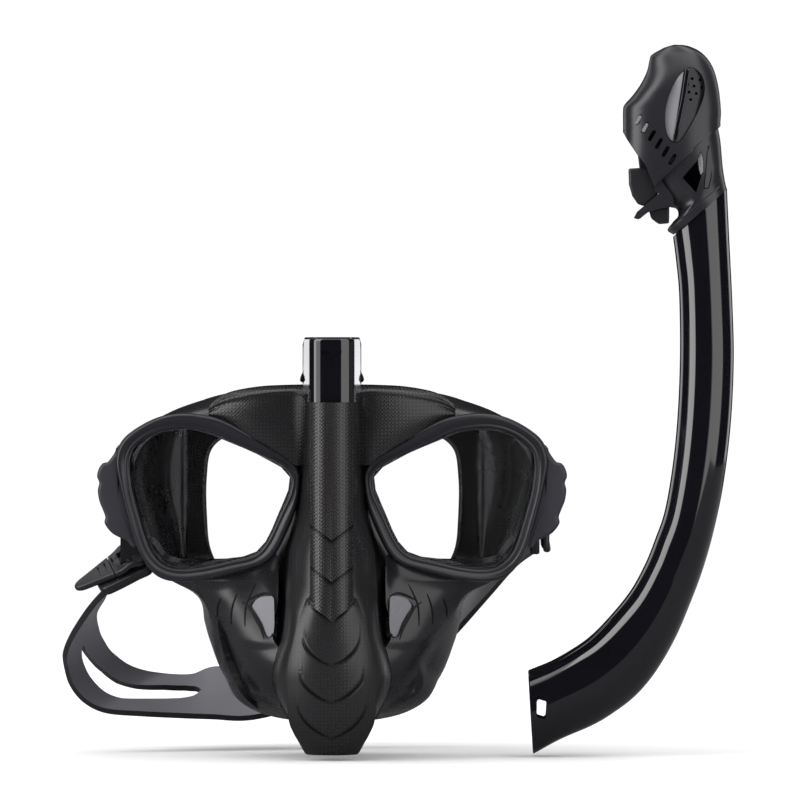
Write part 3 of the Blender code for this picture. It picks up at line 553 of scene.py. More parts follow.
FLANGE = [(47.4, -52.0), (45.6, -58.0), (43.4, -65.0), (40.4, -73.0), (36.4, -81.5), (31.0, -89.0)]
FRONT = [(23.6, -57.6, -30), (24.2, -60.2, -38), (24.4, -62.0, -47), (24.6, -63.4, -56), (24.8, -64.2, -64),
         (25.2, -64.0, -71), (24.0, -61.6, -78), (20.0, -58.0, -85), (13.0, -54.0, -90.5), (0, -53.0, -91.0),
         (33.0, -55.2, -33), (34.5, -57.0, -42), (34.5, -58.4, -52), (34.0, -58.6, -62), (32.5, -57.0, -72),
         (29.0, -52.5, -82), (22.0, -46.0, -90), (46.0, -51.6, -36), (46.5, -51.2, -44), (44.5, -50.4, -54),
         (42.0, -48.8, -64), (38.5, -46.0, -74), (33.0, -41.0, -84), (56.0, -44.0, -37), (55.0, -42.0, -43),
         (51.0, -40.0, -52), (47.0, -38.5, -62), (43.0, -36.0, -72), (37.0, -32.0, -83), (28.0, -30.0, -91)]


def station_surface(half, count_u, count_v, dense=None):
    right = [np.array(s, float) for s in half]
    st = np.array(right + [s * [-1, 1, 1] for s in right[-2:0:-1]])
    cols = np.stack([spline(st[:, k], count_u, closed=True, even=False) for k in range(st.shape[1])], 1)
    out = np.array([spline(row, 4 * count_v, even=False) for row in cols])
    at = np.linspace(0, 1, count_v)
    if dense:
        share, part = dense
        at = np.where(at < share, at / share * part, part + (at - share) / (1 - share) * (1 - part))
    pos = at * (4 * count_v - 1)
    k = np.minimum(pos.astype(int), 4 * count_v - 2)
    f = (pos - k)[None, :, None]
    return out[:, k] * (1 - f) + out[:, k + 1] * f


def near_line(px, pz, line):
    """Distance to a drawn line, and how far along it, fading at both ends."""
    c = spline(line, 60)
    d = np.full(px.shape, 99.0)
    along = np.zeros(px.shape)
    for i, (x, z) in enumerate(c):
        e = np.hypot(px - x, pz - z)
        along = np.where(e < d, i / 59.0, along)
        d = np.minimum(d, e)
    return d, np.sin(np.clip(along, 0.02, 0.98) * math.pi) ** 0.5


def front_sheet():
    """Smooth depth over the muzzle: a thin plate bent through the control points."""
    pts = np.array(FRONT + [(-x, y, z) for x, y, z in FRONT if x > 0], float)
    xz, y = pts[:, [0, 2]], pts[:, 1]

    def kernel(a, b):
        r2 = ((a[:, None, :] - b[None, :, :]) ** 2).sum(-1)
        return 0.5 * r2 * np.log(np.maximum(r2, 1e-9))

    m = len(pts)
    poly = np.concatenate([np.ones((m, 1)), xz], 1)
    full = np.zeros((m + 3, m + 3))
    full[:m, :m] = kernel(xz, xz) + np.eye(m) * 18.0
    full[:m, m:] = poly
    full[m:, :m] = poly.T
    w = np.linalg.solve(full, np.concatenate([y, np.zeros(3)]))

    def depth(x, z):
        q = np.stack([np.ravel(x), np.ravel(z)], 1)
        out = kernel(q, xz) @ w[:m] + np.concatenate([np.ones((len(q), 1)), q], 1) @ w[m:]
        return out.reshape(np.shape(x))

    return depth


def inside(px, pz, loop):
    """Signed distance to a closed outline, positive inside."""
    c = spline(loop, 90, closed=True)
    d = np.full(px.shape, 99.0)
    hit = np.zeros(px.shape, bool)
    for i in range(len(c)):
        (x0, z0), (x1, z1) = c[i], c[(i + 1) % len(c)]
        d = np.minimum(d, np.hypot(px - x0, pz - z0))
        cross = ((z0 > pz) != (z1 > pz)) & (px < (x1 - x0) * (pz - z0) / (z1 - z0 + 1e-12) + x0)
        hit ^= cross
    return np.where(hit, d, -d)


def groove_shadow_strip(name, path, half, near):
    """Thin near-black strip laid on the skirt as a painted groove shadow: tapers at both ends."""
    rings = []
    step = np.gradient(path, axis=0)
    step /= np.linalg.norm(step, axis=1, keepdims=True)
    circle = oval(10)
    for i, ((x, z), (dx, dz)) in enumerate(zip(path, step)):
        gap = (near[:, 0] - x) ** 2 + (near[:, 2] - z) ** 2
        y = near[np.argsort(gap)[:6], 1].min()
        w = half * max(0.12, math.sin(math.pi * (i + 0.5) / len(path)) ** 0.6)
        rings.append([(x + dz * w * a, y + 0.16 * b - 0.02, z - dx * w * a) for a, b in circle])
    put(name, loft(rings), "painted_groove_shadow", "mask", (), sharp=80)


def build_skirt():
    g = station_surface(SKIRT, 1000, 150, (0.68, 0.45))
    ax = np.abs(g[..., 0])
    z = g[..., 2]
    v = np.linspace(0, 1, g.shape[1])
    v = np.where(v < 0.68, v / 0.68 * 0.45, 0.45 + (v - 0.68) / 0.32 * 0.55)[None, :] * np.ones(ax.shape)
    front = smooth(0.52, 0.40, v) * smooth(-27, -36, z)
    depth = front_sheet()
    g[..., 1] += (depth(g[..., 0], z) - g[..., 1]) * front
    n = normals_of(g, True)
    g = g + n * (2.4 * smooth(-40, -28, z) * smooth(1.0, 0.86, v))[..., None]
    tuck = smooth(0.14, 0.0, v) * smooth(-46, -34, z) * smooth(-16, -26, z)
    g[..., 2] += 5.0 * tuck
    g[..., 1] += 2.6 * tuck
    push = np.zeros(ax.shape)
    d, fade = near_line(ax, z, FLANGE)
    fade = fade * np.where(g[..., 0] < 0, 1.0, 0.15) * smooth(0.72, 0.66, v)
    # rim: painted shade along the flange recess, passed to the shade attribute.
    rim = fade * np.exp(-(d / 1.7) ** 4)
    push += 0.5 * fade * np.exp(-(d / 2.0) ** 2)
    cz = curve(CREASE, np.clip(ax, 22, 54))
    push -= 0.45 * smooth(-2.4, 2.0, z - cz) * np.exp(-(np.maximum(z - cz, 0) / 7.0) ** 2)
    flat = smooth(0.0, 1.4, inside(ax, z, PATCH)) * front
    g = g - n * (push * front * smooth(58, 52, ax) * (1 - flat))[..., None]
    facet = -62.4 + 0.62 * (ax - 24.0) + 0.04 * (z + 50)
    g[..., 1] += (facet - g[..., 1]) * flat
    side = smooth(0.8, 0.86, v) * smooth(30, 26, np.abs(z - 1))
    wall = SKIRT_WALL + 0.9 * side * np.exp(-((ax - 61.6) / 0.8) ** 2)
    # deep: painted shade on the inside of the skirt near the lens sides, seen through the lenses.
    deep = 1.0 * side * smooth(61.2, 60.4, ax)
    deep = np.maximum(deep, 0.35 * smooth(0.5, 0.6, v) * smooth(66, 72, ax))
    painted_shade = np.concatenate([rim, deep[:, ::-1]], 1).ravel()
    put("skirt", shell(g, -wall), "silicone", "mask", ["face_skirt"], sharp=70, painted_shade=painted_shade)
    # A pale plate on each cheek: painted highlight where the softbox is reflected.
    for sign in (-1, 1):
        loop = spline(PATCH, 60, closed=True) * [sign, 1]
        face = tilted(loop, lambda x, z: -63.5 + 0.62 * (abs(x) - 24.0) + 0.04 * (z + 50), -57.5)
        put("cheek_painted_highlight", face, "facet", "mask", (), sharp=30)
    near = g[:, :112].reshape(-1, 3)
    lines = [(q, 0.42) for q in GILLS] + [(q, 0.62) for q in PATCH_LINES] + [(FLANGE, 2.3)]
    for k, (line, half) in enumerate(lines):
        for sign in ((-1,) if line is FLANGE else (-1, 1)):
            groove_shadow_strip("skirt_line_%d" % k, spline(line, 44) * [sign, 1], half, near)
    lip = [(math.cos(k), math.sin(k)) for k in np.linspace(0, 2 * math.pi, 14, endpoint=False)]
    edge = g[:, -1] - n[:, -1] * 1.15
    back = edge - g[:, -5]
    back /= np.linalg.norm(back, axis=1, keepdims=True)
    rings = [[edge[i] + (n[i, -1] * c + back[i] * s) * 1.5 for i in range(0, len(edge), 2)] for c, s in lip]
    put("skirt_lip_bead", loft(rings, closed=True), "silicone", "mask", (), sharp=70)


POCKET = [
    ((0, -50, -30), (0, -41, -10), (0, -26, 2)),
    ((9, -51, -31), (14, -40, -15), (13.5, -23, -4)),
    ((14.5, -51, -34), (24, -37, -29), (26, -17, -23)),
    ((15.5, -51, -45), (28, -35, -45), (32, -13, -43)),
    ((14.5, -51, -58), (23, -34, -61), (26, -10, -62)),
    ((9, -51, -63.5), (12, -34, -68), (14, -8, -71)),
    ((0, -51, -64.5), (0, -34, -70), (0, -7, -73)),
]


def build_pocket():
    g = station_surface(POCKET, 260, 44)
    obj = put("pocket", shell(g, -1.8), "skirt_in", "mask", ["breathing_pocket"], sharp=60)
    tools = []
    for sign in (-1, 1):
        at = np.array([24.6 * sign, -34.0, -44.0])
        ax = np.array([0.86 * sign, -0.51, 0.0])
        tools.append(tool(rod(at - ax * 5.5, at + ax * 10.5, 9.6, 48)))
    carve(obj, tools)


# ------------------------------------------------------------------ ridge, spine, lower cover
SPINE = [(39.4, -71.0), (20, -75.5), (0, -80.0), (-20, -84.5), (-44, -89.0), (-70, -91.5), (-90, -89.0),
         (-101, -84.0), (-107.5, -77.0)]
WALL_X = [(39.4, 11.4), (20, 11.9), (8, 12.2), (-6, 13.4), (-16, 16.2), (-25, 18.4), (-44, 19.4), (-57, 20.6),
          (-66, 23.2), (-75, 24.8), (-82, 23.4), (-89, 19.4), (-94, 16.8), (-101, 12.5)]
WALL_Y = [(39.4, -60), (0, -60), (-20, -63.5), (-44, -68), (-60, -68), (-75, -64), (-90, -58), (-101, -56)]


def build_ridge():
    rings, shades = [], []
    for z in np.linspace(39.2, -93.0, 150):
        low = float(smooth(-36, -48, z))
        x0 = 8.4 + (float(curve(FLARE, max(z, -106.4))) - 2.2 - 8.4) * low
        front = float(curve(SPINE, z)) + 4.2 + (float(cover_round(z)) - 3.4) * low
        w = max(float(curve(WALL_X, z)), x0 + 0.6)
        yw = float(curve(WALL_Y, z))
        t = np.linspace(0, 1, 26)
        s = t * math.pi / 2
        flat = 0.55 - 0.35 * low
        x = x0 + (w - x0) * ((1 - flat) * np.sin(s) + flat * t)
        y = front + (yw - front) * ((1 - flat) * (1 - np.cos(s)) + flat * t)
        wing = 2.6 * float(smooth(-12, 4, z))
        out_x = np.concatenate([x, [w + 0.3 + wing, w + 0.8 + wing, w + 1.4 + wing]])
        out_y = np.concatenate([y, [yw + 4.0, yw + 7.0, yw + 9.0]])
        edge = np.concatenate([smooth(0.86, 1.0, t), [1, 1, 1]]) * (1 - float(smooth(-16, -6, z)))
        shades.append(np.concatenate([edge[::-1], edge, np.zeros(2 * len(edge))]))
        half = np.stack([out_x, out_y, np.full(len(out_x), z)], 1)
        rings.append(backed(np.concatenate([half[::-1] * [-1, 1, 1], half]), 1.8, 0.93))
    put("ridge", loft(rings), "weave_fine", "mask", ["nose_frame_left", "nose_frame_right"],
        sharp=60, painted_shade=np.concatenate(shades))


def cover_round(z):
    return 4.6 + 2.8 * smooth(-44, -80, z)


def scale_rows(q_top, q_low, steps, count):
    """Row positions along the spine, doubled up at every step edge."""
    rows = list(np.linspace(q_top, q_low, count))
    for s in steps:
        rows += [s + 0.32, s + 0.12, s - 0.02, s - 0.25]
    return sorted(rows, reverse=True)


def step_height(q, steps, top, rise):
    """Overlapping scales: each ends proud at its lower edge and the next starts low."""
    edges = [top] + list(steps) + [steps[-1] - 22]
    for a, b in zip(edges[:-1], edges[1:]):
        if q > b:
            k = (a - q) / (a - b)
            return rise * k ** 1.6
    return 0.0


def build_spine():
    steps = [-17.5, -34.6, -50.8]
    rows = scale_rows(39.2, -50.6, steps[:2], 96)
    xs = np.linspace(-1, 1, 41)
    rings, painted_shade = [], []
    for q in rows:
        slope = 0.79 * float(smooth(36, -4, q))
        x = 9.0 * xs
        z = q + slope * np.abs(x) * 0.92
        ys = np.array([float(curve(SPINE, min(zz, 39.4))) for zz in z])
        prof = 4.6 * np.abs(xs) ** 2.6
        raise_by = step_height(q, steps, 10.0, 1.9) if q < 10 else 0.0
        shade = 0.0
        for s in steps:
            if s - 2.2 < q < s - 0.05:
                shade = max(shade, 1.0 - (s - q) / 2.2)
        painted_shade.append(np.concatenate([np.full(len(xs), shade), np.zeros(len(xs))]))
        y = ys + prof - raise_by * (1 - 0.35 * np.abs(xs) ** 6)
        rings.append(backed(np.stack([x, y, z], 1), 3.2, 0.94))
    put("spine", loft(rings), "weave", "mask", ["spine_cover"], sharp=40, painted_shade=np.concatenate(painted_shade))


FLARE = [(-40.0, 9.6), (-44, 11.4), (-52, 14.0), (-60.4, 16.0), (-70.8, 17.9), (-77, 18.4), (-86, 18.4),
         (-93, 17.7), (-98, 15.7), (-102, 13.5), (-106.4, 11.2)]
GROOVES = [[(0, -50.8), (4.6, -47.4), (9.4, -43.6)],
           [(0, -69.2), (4.5, -67.4), (8.6, -64.2), (11.0, -60.8), (11.6, -58.4)],
           [(0, -84.8), (5.0, -82.6), (9.6, -79.2), (12.4, -75.8), (12.9, -73.4)],
           [(0, -99.8), (5.0, -97.4), (9.8, -93.9), (13.0, -89.8), (14.2, -86.4)]]


def build_lower():
    rings, painted_shade = [], []
    zs = np.concatenate([np.linspace(-38.5, -105.8, 190), -107.0 + 1.2 * np.cos(np.linspace(0.25, 1.57, 8))])
    xs = np.linspace(-1, 1, 101)
    for z in zs:
        half = float(curve(FLARE, max(z, -106.4)))
        if z < -105.8:
            half -= 1.1 * (1 - math.sqrt(max(0.0, 1 - ((-105.8 - z) / 1.25) ** 2)))
        x = half * xs
        ys = float(curve(SPINE, max(z, -107.5)))
        round_by = float(cover_round(z))
        y = ys + round_by * np.abs(xs) ** 2.3
        y = y + 2.2 * smooth(-45, -38.5, z)
        zz = np.full(len(xs), z)
        cut = np.zeros(len(xs))
        shade = np.zeros(len(xs))
        for k, line in enumerate(GROOVES):
            d, fade = near_line(np.abs(x), zz, line)
            cx = np.interp(np.abs(x), [p[0] for p in line], [p[1] for p in line])
            above = smooth(-1.0, 0.6, zz - cx) * (np.abs(x) <= line[-1][0])
            size = 0.75 if k else 1.0
            shade = np.maximum(shade, np.exp(-(d / 0.6) ** 2) * np.maximum(fade, 0.4))
            cut += size * (0.85 * np.exp(-(d / 0.55) ** 2) * np.maximum(fade, 0.35)
                           - 0.55 * np.exp(-((zz - cx) / 4.5) ** 2) * above)
        y = y + cut
        rings.append(backed(np.stack([x, y, zz], 1), 3.0, 0.92))
        painted_shade.append(np.concatenate([shade, np.zeros(len(xs))]))
    put("lower", loft(rings), "weave_low", "mask", ["lower_cover"], sharp=50,
        painted_shade=np.concatenate(painted_shade))


def build_brow():
    face = []
    for x in np.linspace(10.2, 51.4, 84):
        k = (x - 13.3) / 37.5
        top = float(curve([(10, 46.4), (20, 46.2), (30, 45.6), (40, 43.9), (46, 41.7), (50, 38.6),
                           (52, 36.2)], x))
        low = float(curve([(10, 14.5), (15, 13.5), (20, 17.4), (31.5, 24.2), (43.8, 30.8), (52, 33.4)],
                          x)) - 0.6
        crease = float(curve([(10, 39.6), (14, 41.6), (20, 41.9), (32, 40.5), (42, 38.6), (48, 36.8),
                              (52, 34.9)], x))
        low = min(low, crease - 0.3)
        front = -64.0 + 10.5 * max(k, 0) ** 2
        groove = 1.2 * math.exp(-((x - 11.0) / 3.2) ** 2)
        fx = front + groove
        zf = np.linspace(crease, low, 30)
        bow = 1.2 * np.sin(np.linspace(0, 1, 30) * math.pi)
        face_front = np.stack([np.full(30, x), fx - bow + 0.5, zf], 1)
        a = np.linspace(0.0, 1.0, 22)
        h = top - crease
        arc_y = fx + 0.4 + (-50.5 - fx) * a ** 1.35
        arc_z = crease + h * np.sin(np.minimum(a * 1.5, 1.0) * math.pi / 2) ** 0.75 - 2.2 * smooth(0.7, 1.0,
                                                                                                   a)
        roll = 0.9 * np.exp(-((a - 0.16) / 0.13) ** 2) * smooth(0, 0.08, a)
        band = np.stack([np.full(22, x), arc_y + 0.1 - roll, arc_z], 1)
        front_line = np.concatenate([face_front[::-1], band[1:]])
        inner = front_line.copy()
        inner[:, 1] += 4.0
        inner[30:, 2] -= 2.6
        face.append(np.concatenate([front_line, inner[::-1]]))
    for side, f in SIDES:
        put("brow_face_" + side, f(loft(face)), "weave_brow", "mask", ["brow_" + side], sharp=75)


# ------------------------------------------------------------------ spigot
def build_spigot():
    front = [(0, -68.4), (3.9, -68.3), (4.35, -68.15), (7.0, -66.9), (7.4, -66.6), (9.2, -64.6), (9.5, -64.0),
             (12.0, -57.4), (12.2, -56.0)]
    back = [(12.2, -47.5), (11.4, -42.0), (8.5, -38.9), (4, -38.1), (0, -38.0)]
    run = [np.linspace(front[k], front[k + 1], 5, endpoint=False) for k in range(len(front) - 1)]
    half = np.concatenate(run + [np.linspace(front[-1], back[0], 6, endpoint=False), spline(back, 24)])
    loop = np.concatenate([half, half[-2:0:-1] * [-1, 1]])
    nrm = outward(loop)

    def ring(z, inset):
        p = loop - nrm * inset
        return [(x, y, z) for x, y in p]

    rings = [ring(z, 0.9 if z in (35.8, 37.8) else 0) for z in (33.6, 35.6, 35.8, 37.8, 38.0, 44, 50, 56, 60)]
    for a in np.linspace(0, math.pi / 2, 8):
        rings.append(ring(64.4 + 1.3 * math.sin(a), 1.3 * (1 - math.cos(a)) * 0.6))
    rings += [ring(65.6, 1.6), ring(65.0, 2.0), ring(34.8, 2.0)]
    obj = put("spigot", loft(rings, closed=True), "gloss", "mask", ["tube_spigot"], sharp=40)
    tools = [tool(box((min(s * 8, s * 14), -58, 46.7), (max(s * 8, s * 14), -48, 52.2))) for s in (-1, 1)]
    key = [(-4.2, 60.9), (-3.9, 58.5), (-0.3, 56.3), (3.8, 58.7), (4.1, 60.6), (0, 60.0)]
    tools.append(tool(prism_y(key, -70.0, -67.8)))
    tools += [tool(prism_y([(s * 11.0, 67), (s * 12.9, 60.6), (s * 15, 60.6), (s * 15, 67)], -66,
                           -30)) for s in (-1, 1)]
    carve(obj, tools)
    # Side faces turned towards the lights take the bright metal finish: a painted reflection on the black
    # spigot.
    obj.data.materials.append(MAT["mirror"])
    for p in obj.data.polygons:
        if 0.86 < abs(p.normal.x) < 0.97 and p.normal.y < -0.2 and p.center.z > 0.03:
            p.material_index = 1
    ring_path = loop - nrm * 0.35
    bead = [[(x + a * 0.55 * c, y + b * 0.55 * c, 36.8 + 0.75 * e) for (x, y), (a, b) in zip(ring_path, nrm)]
            for c, e in oval(12)]
    put("stub_seal", loft(bead, closed=True), "seal", "mask", ["spigot_seal"], sharp=60)
    for side, s in (("left", -1), ("right", 1)):
        shape = [(9.9, 47.2), (12.6, 47.2), (13.4, 48.1), (13.1, 49.6), (12.4, 51.0), (11.8, 51.7),
                 (9.9, 51.7)]
        vf = prism_y([(s * x, z) for x, z in shape], -57.4, -48.6)
        bevel(put("catch_" + side, vf, "gloss", "catch_" + side, ["snap_catch_" + side], sharp=30),
              0.3)


# ------------------------------------------------------------------ lugs, buckles, strap
LUG = [(88.6, 20.6), (91.0, 17.0), (93.4, 13.9), (95.6, 13.2), (97.2, 11.0), (97.9, 7.9), (97.0, 5.2),
       (97.6, 2.0),
       (97.0, -2.2), (95.7, -5.6), (94.5, -8.9), (94.7, -11.8), (92.0, -15.5), (88.6, -17.6), (85.6, -19.0),
       (82.7, -21.8), (79.6, -18.0), (83.5, -4.0), (87.0, 10.0)]


def build_lugs():
    vf = rounded(LUG, -49.2, -42.6, 1.7, 6, 200)
    for side, f in SIDES:
        put("lug_" + side, f(vf), "lug", "mask", ["strap_lug_" + side], sharp=60)


def buckle_frame(sign):
    if sign < 0:
        d = np.array([-0.885, 0.0, -0.466])
        w = np.array([-0.233, 0.866, 0.442])
        o = np.array([-79.4, -34.0, -27.0])
    else:
        d = np.array([0.0, 0.999, -0.04])
        w = np.array([0.0, 0.04, 1.0])
        o = np.array([84.2, -34.0, -15.0])
    d /= np.linalg.norm(d)
    w -= d * np.dot(w, d)
    w /= np.linalg.norm(w)
    t = np.cross(d, w)
    if (sign < 0 and t[1] > 0) or (sign > 0 and t[0] < 0):
        t = -t
    return o, d, w, t


def local(vf, fr):
    o, d, w, t = fr
    pts = np.array(vf[0], float)
    return o + pts[:, :1] * d + pts[:, 1:2] * w + pts[:, 2:] * t, vf[1]


def slab(outline, t0, t1, r, count=72):
    """Rounded slab in the buckle's own frame: outline in length and width."""
    v, f = rounded(outline, 0.0, t1 - t0, r, 4, count)
    v = np.array(v)
    return np.stack([v[:, 0], v[:, 2], v[:, 1] + t0], 1), f


def build_buckles():
    for side, sign in (("left", -1), ("right", 1)):
        fr = buckle_frame(sign)
        plate = [(-2, -8.5), (6, -9.6), (16, -9.4), (20, -8.2), (21.5, -4), (21.5, 4), (20, 8.2), (16, 9.4),
                 (6, 9.6), (-2, 8.5)]
        low = -3.0 if sign < 0 else -1.6
        if sign > 0:
            plate = [(max(a, 1.5), b) for a, b in plate]
        obj = put("buckle_" + side, local(slab(plate, low, low + 4, 0.9), fr), "buckle", "harness",
                  ["buckle_" + side], sharp=50)
        end = 87.2 if sign < 0 else 87.4
        barrel = rod((sign * 80.8 if sign < 0 else 82.2, PIVOT_Y, PIVOT_Z), (sign * end, PIVOT_Y, PIVOT_Z),
                     3.9, 40)
        tools = [tool(barrel)]
        if sign < 0:
            tools.append(tool(box((-88.4, -37.4, -30.0), (-80.6, -30.6, -17.0))))
        carve(obj, tools, "UNION")
        cuts = [tool(local(box((5.6, -7, -6), (9.2, 7, low + 2.6)), fr)),
                tool(local(box((14.6, -7, -6), (18.0, 7, low + 2.6)), fr)),
                tool(rod((sign * 78.0, PIVOT_Y, PIVOT_Z), (sign * (end - 1.4), PIVOT_Y, PIVOT_Z), 2.1, 32))]
        carve(obj, cuts)
        bevel(obj, 0.35, 2, 40)
        tongue = [(-0.4, -8.6), (6, -8.6), (12, -7.4), (20, -5.2), (27, -3.4), (29.6, -1.8), (30.4, 0),
                  (29.6, 1.8), (27, 3.4), (20, 5.6), (12, 8.2), (6, 9.4), (-0.4, 9.4), (-1.0, 0)]
        stretch, shift, split, gap = (1.0, 0.0, 12.8, 0.2) if sign < 0 else (0.72, 2.0, 11.4, 0.5)
        outline = [(a * stretch + shift, b) for a, b in tongue]
        for part, far in (("head", (split - gap, 60)), ("lever", (-60, split + gap))):
            v, f = slab(outline, low + 4.5, low + 7.2, 1.0, 160)
            v = np.array(v)
            lift = 1.5 * np.exp(-((v[:, 0] - 5.0) / 4.0) ** 2) - 0.4 * smooth(14, 27, v[:, 0])
            v[:, 2] += lift
            body, swap = ("harness", []) if part == "head" else ("lever_" + side, ["release_lever_" + side])
            piece = put("buckle_%s_%s" % (part, side), local((v, f), fr), "buckle", body, swap,
                        sharp=50)
            tools = [tool(local(box((far[0], -30, low - 9), (far[1], 30, low + 20)), fr))]
            for rib, wid in ((3.4, 1.4), (6.2, 2.6), (11.0, 0.8), (14.8, 0.7), (18.0, 0.6)):
                half = 5.6 - 0.09 * rib
                rib = rib * stretch + shift
                tools.append(tool(local(box((rib, -half, low + 6.3), (rib + wid * stretch, half, low + 12)),
                                        fr)))
            carve(piece, tools)
            bevel(piece, 0.3, 2, 40)


STRAP = [
    ((-94.5, -40, -40.6), (-93.5, -24, -36.6)),
    ((-97.7, -39, -43.6), (-95.9, -22, -43.2)),
    ((-102.7, -36, -49.9), (-99.7, -14, -50.4)),
    ((-108.7, -30, -59.4), (-98.8, -6, -57.9)),
    ((-111.8, -24, -67.2), (-96.4, 2, -63.3)),
    ((-111.5, -17, -73.3), (-93.2, 10, -68.2)),
    ((-109.2, -11, -81.1), (-87.9, 17, -72.7)),
    ((-103.4, -8, -88.0), (-81.3, 26, -76.1)),
    ((-95.0, -4, -92.0), (-74.7, 33, -78.1)),
    ((-80.9, 0, -93.4), (-67.2, 38, -79.4)),
    ((-64.1, 4, -94.4), (-58.8, 42, -79.4)),
    ((-50.7, 6, -95.0), (-50.4, 44, -76.5)),
    ((-34.8, 10, -95.6), (-34.3, 48, -76.2)),
    ((-12.7, 18.7, -91.3), (-17.3, 57.3, -68.7)),
    ((22.2, 28.5, -85.5), (17.8, 59.5, -54.5)),
    ((44.4, 27.9, -67.7), (51.6, 44.1, -36.3)),
    ((63.3, 12.7, -46.7), (68.7, 15.3, -21.3)),
    ((76.0, 0.0, -31.9), (78.0, 0.0, -12.1)),
    ((84.2, -12.6, -25.2), (84.2, -12.6, -7.2)),
]
SLOT = [(3.62, 0.42, 0.0), (3.8, 0.42, 0.03), (5.0, 0.44, 0.10), (6.0, 0.465, 0.135), (7.0, 0.45, 0.15),
        (8.0, 0.465, 0.175), (9.0, 0.52, 0.18), (9.8, 0.54, 0.16), (10.25, 0.54, 0.115),
        (10.45, 0.54, 0.06), (10.55, 0.54, 0.0)]


def build_strap():
    count, na, nb = 481, 16, 16
    lower = spline([s[0] for s in STRAP], count, even=False)
    upper = spline([s[1] for s in STRAP], count, even=False)
    at = np.linspace(0, len(STRAP) - 1, count)
    cut = np.array(SLOT)
    rows, keep = [], []
    for i in range(count):
        pos = at[i]
        c = float(np.interp(pos, cut[:, 0], cut[:, 1]))
        gap = max(0.004, float(np.interp(pos, cut[:, 0], cut[:, 2])))
        open_here = cut[0, 0] < pos < cut[-1, 0]
        if 12.5 < pos < 15.0:
            gap = max(gap, 0.16 * math.sin(math.pi * (pos - 12.5) / 2.5) ** 0.5)
            open_here = True
        v = np.concatenate([np.linspace(0, c - gap, na), np.linspace(c + gap, 1, nb)])
        rows.append([lower[i] + (upper[i] - lower[i]) * q for q in v])
        keep.append([not (open_here and j == na - 1) for j in range(na + nb - 1)])
    g = np.array(rows)
    n = normals_of(g, False)
    nu, nv = g.shape[:2]
    verts = np.concatenate([(g - n * STRAP_THICK / 2).reshape(-1, 3),
                            (g + n * STRAP_THICK / 2).reshape(-1, 3)])
    top = nu * nv
    faces, edge = [], []
    for i in range(nu - 1):
        for j in range(nv - 1):
            if not keep[i][j]:
                continue
            a, b, c, d = i * nv + j, i * nv + j + 1, (i + 1) * nv + j + 1, (i + 1) * nv + j
            faces += [(a, b, c, d), (top + d, top + c, top + b, top + a)]
            for p, q, ii, jj in ((a, b, i - 1, j), (b, c, i, j + 1), (c, d, i + 1, j), (d, a, i, j - 1)):
                if not (0 <= ii < nu - 1 and 0 <= jj < nv - 1 and keep[ii][jj]):
                    edge.append((q, p, top + p, top + q))
    shade = np.repeat(np.interp(at, (0, 2, 4, 5.5, 8, 10, 12), (0.4, 0.1, 0.4, 0.55, 0.35, 0.12, 0.0)), nv)
    obj = put("strap", (verts, faces + edge), "strap", "harness", ["head_strap"], sharp=50,
              painted_shade=np.concatenate([shade, shade]))
    # The band's edges take the near-black copy: painted shadow on the edges.
    obj.data.materials.append(MAT["strap_edge"])
    for p in obj.data.polygons:
        if p.index >= len(faces):
            p.material_index = 1
    bevel(obj, 0.35, 2, 50)


# ------------------------------------------------------------------ tube
TUBE_IN = [(81.7, -73.3), (91, -69.5), (99.2, -65), (107.5, -59.2), (115.8, -50.8), (124.2, -40.4),
           (130.4, -29.2),
           (134.6, -18.8), (138.8, -6.3), (142.2, 14), (144.2, 36), (145, 60), (144.6, 84), (143.3,
                                                                                             97.9), (142.1,
                                                                                                     107.4)]
TUBE_OUT = [(83.8, -108.3), (95, -102.2), (107.5, -96.8), (116, -92), (126.3, -84.2), (134.8, -74.2),
            (142.9, -60.4),
            (149.2, -45.8), (154.6, -31.3), (159.2, -15), (163.3, 5), (166.3, 30), (167.5, 56.3), (166.9, 80),
            (165.6, 106.3), (164.6, 127.8)]


def edge_rings(a, b, depth, wall, circle, front=0.0):
    rings = []
    for p, q, dep in zip(a, b, depth):
        mid = (p + q) / 2
        half = np.linalg.norm(q - p) / 2
        nn = (q - p) / (2 * half)
        xz = mid + nn * ((half - wall) * circle[:, :1])
        y = TUBE_Y + (dep - wall) * circle[:, 1] + front * circle[:, 0] * (circle[:, 1] < 0)
        rings.append(np.stack([xz[:, 0], y, xz[:, 1]], 1))
    return rings


def build_tube():
    count = 200
    a = spline(TUBE_IN, count)
    b = spline(TUBE_OUT, count)
    depth = 12.4 + 2.0 * np.clip(1 - np.linspace(0, 1, count) / 0.35, 0, 1)
    circle = oval(120, 2.12)
    outer = edge_rings(a, b, depth, 0.0, circle)
    rim = edge_rings(a[:1], b[:1], depth[:1], 0.35, circle)
    inner = edge_rings(a, b, depth, 1.8, circle)
    d = np.array([(a[1] - a[0])[0], 0, (a[1] - a[0])[1]])
    d /= np.linalg.norm(d)
    outer[0] = outer[0] + d * 0.4
    up = np.array([[-1.2, 5.2]])
    tuck = edge_rings(a[-1:] + [0.3, 0.2], b[-1:] + [-0.1, 0.2], depth[-1:], 1.3, circle)
    tuck += edge_rings(a[-1:] + up, b[-1:] + up, depth[-1:], 1.3, circle)
    obj = put("tube", loft(rim + outer + tuck + inner[::-1], closed=True), "gloss", "snorkel",
              ["snorkel_tube"], sharp=45)
    slot = [(85.3, -85.6), (86.0, -84.8), (88.9, -85.6), (89.5, -86.5), (89.1, -92.4), (88.4, -93.1),
            (85.9, -92.4), (85.2, -91.6)]
    carve(obj, [tool(prism_y(slot, -60, -20))])


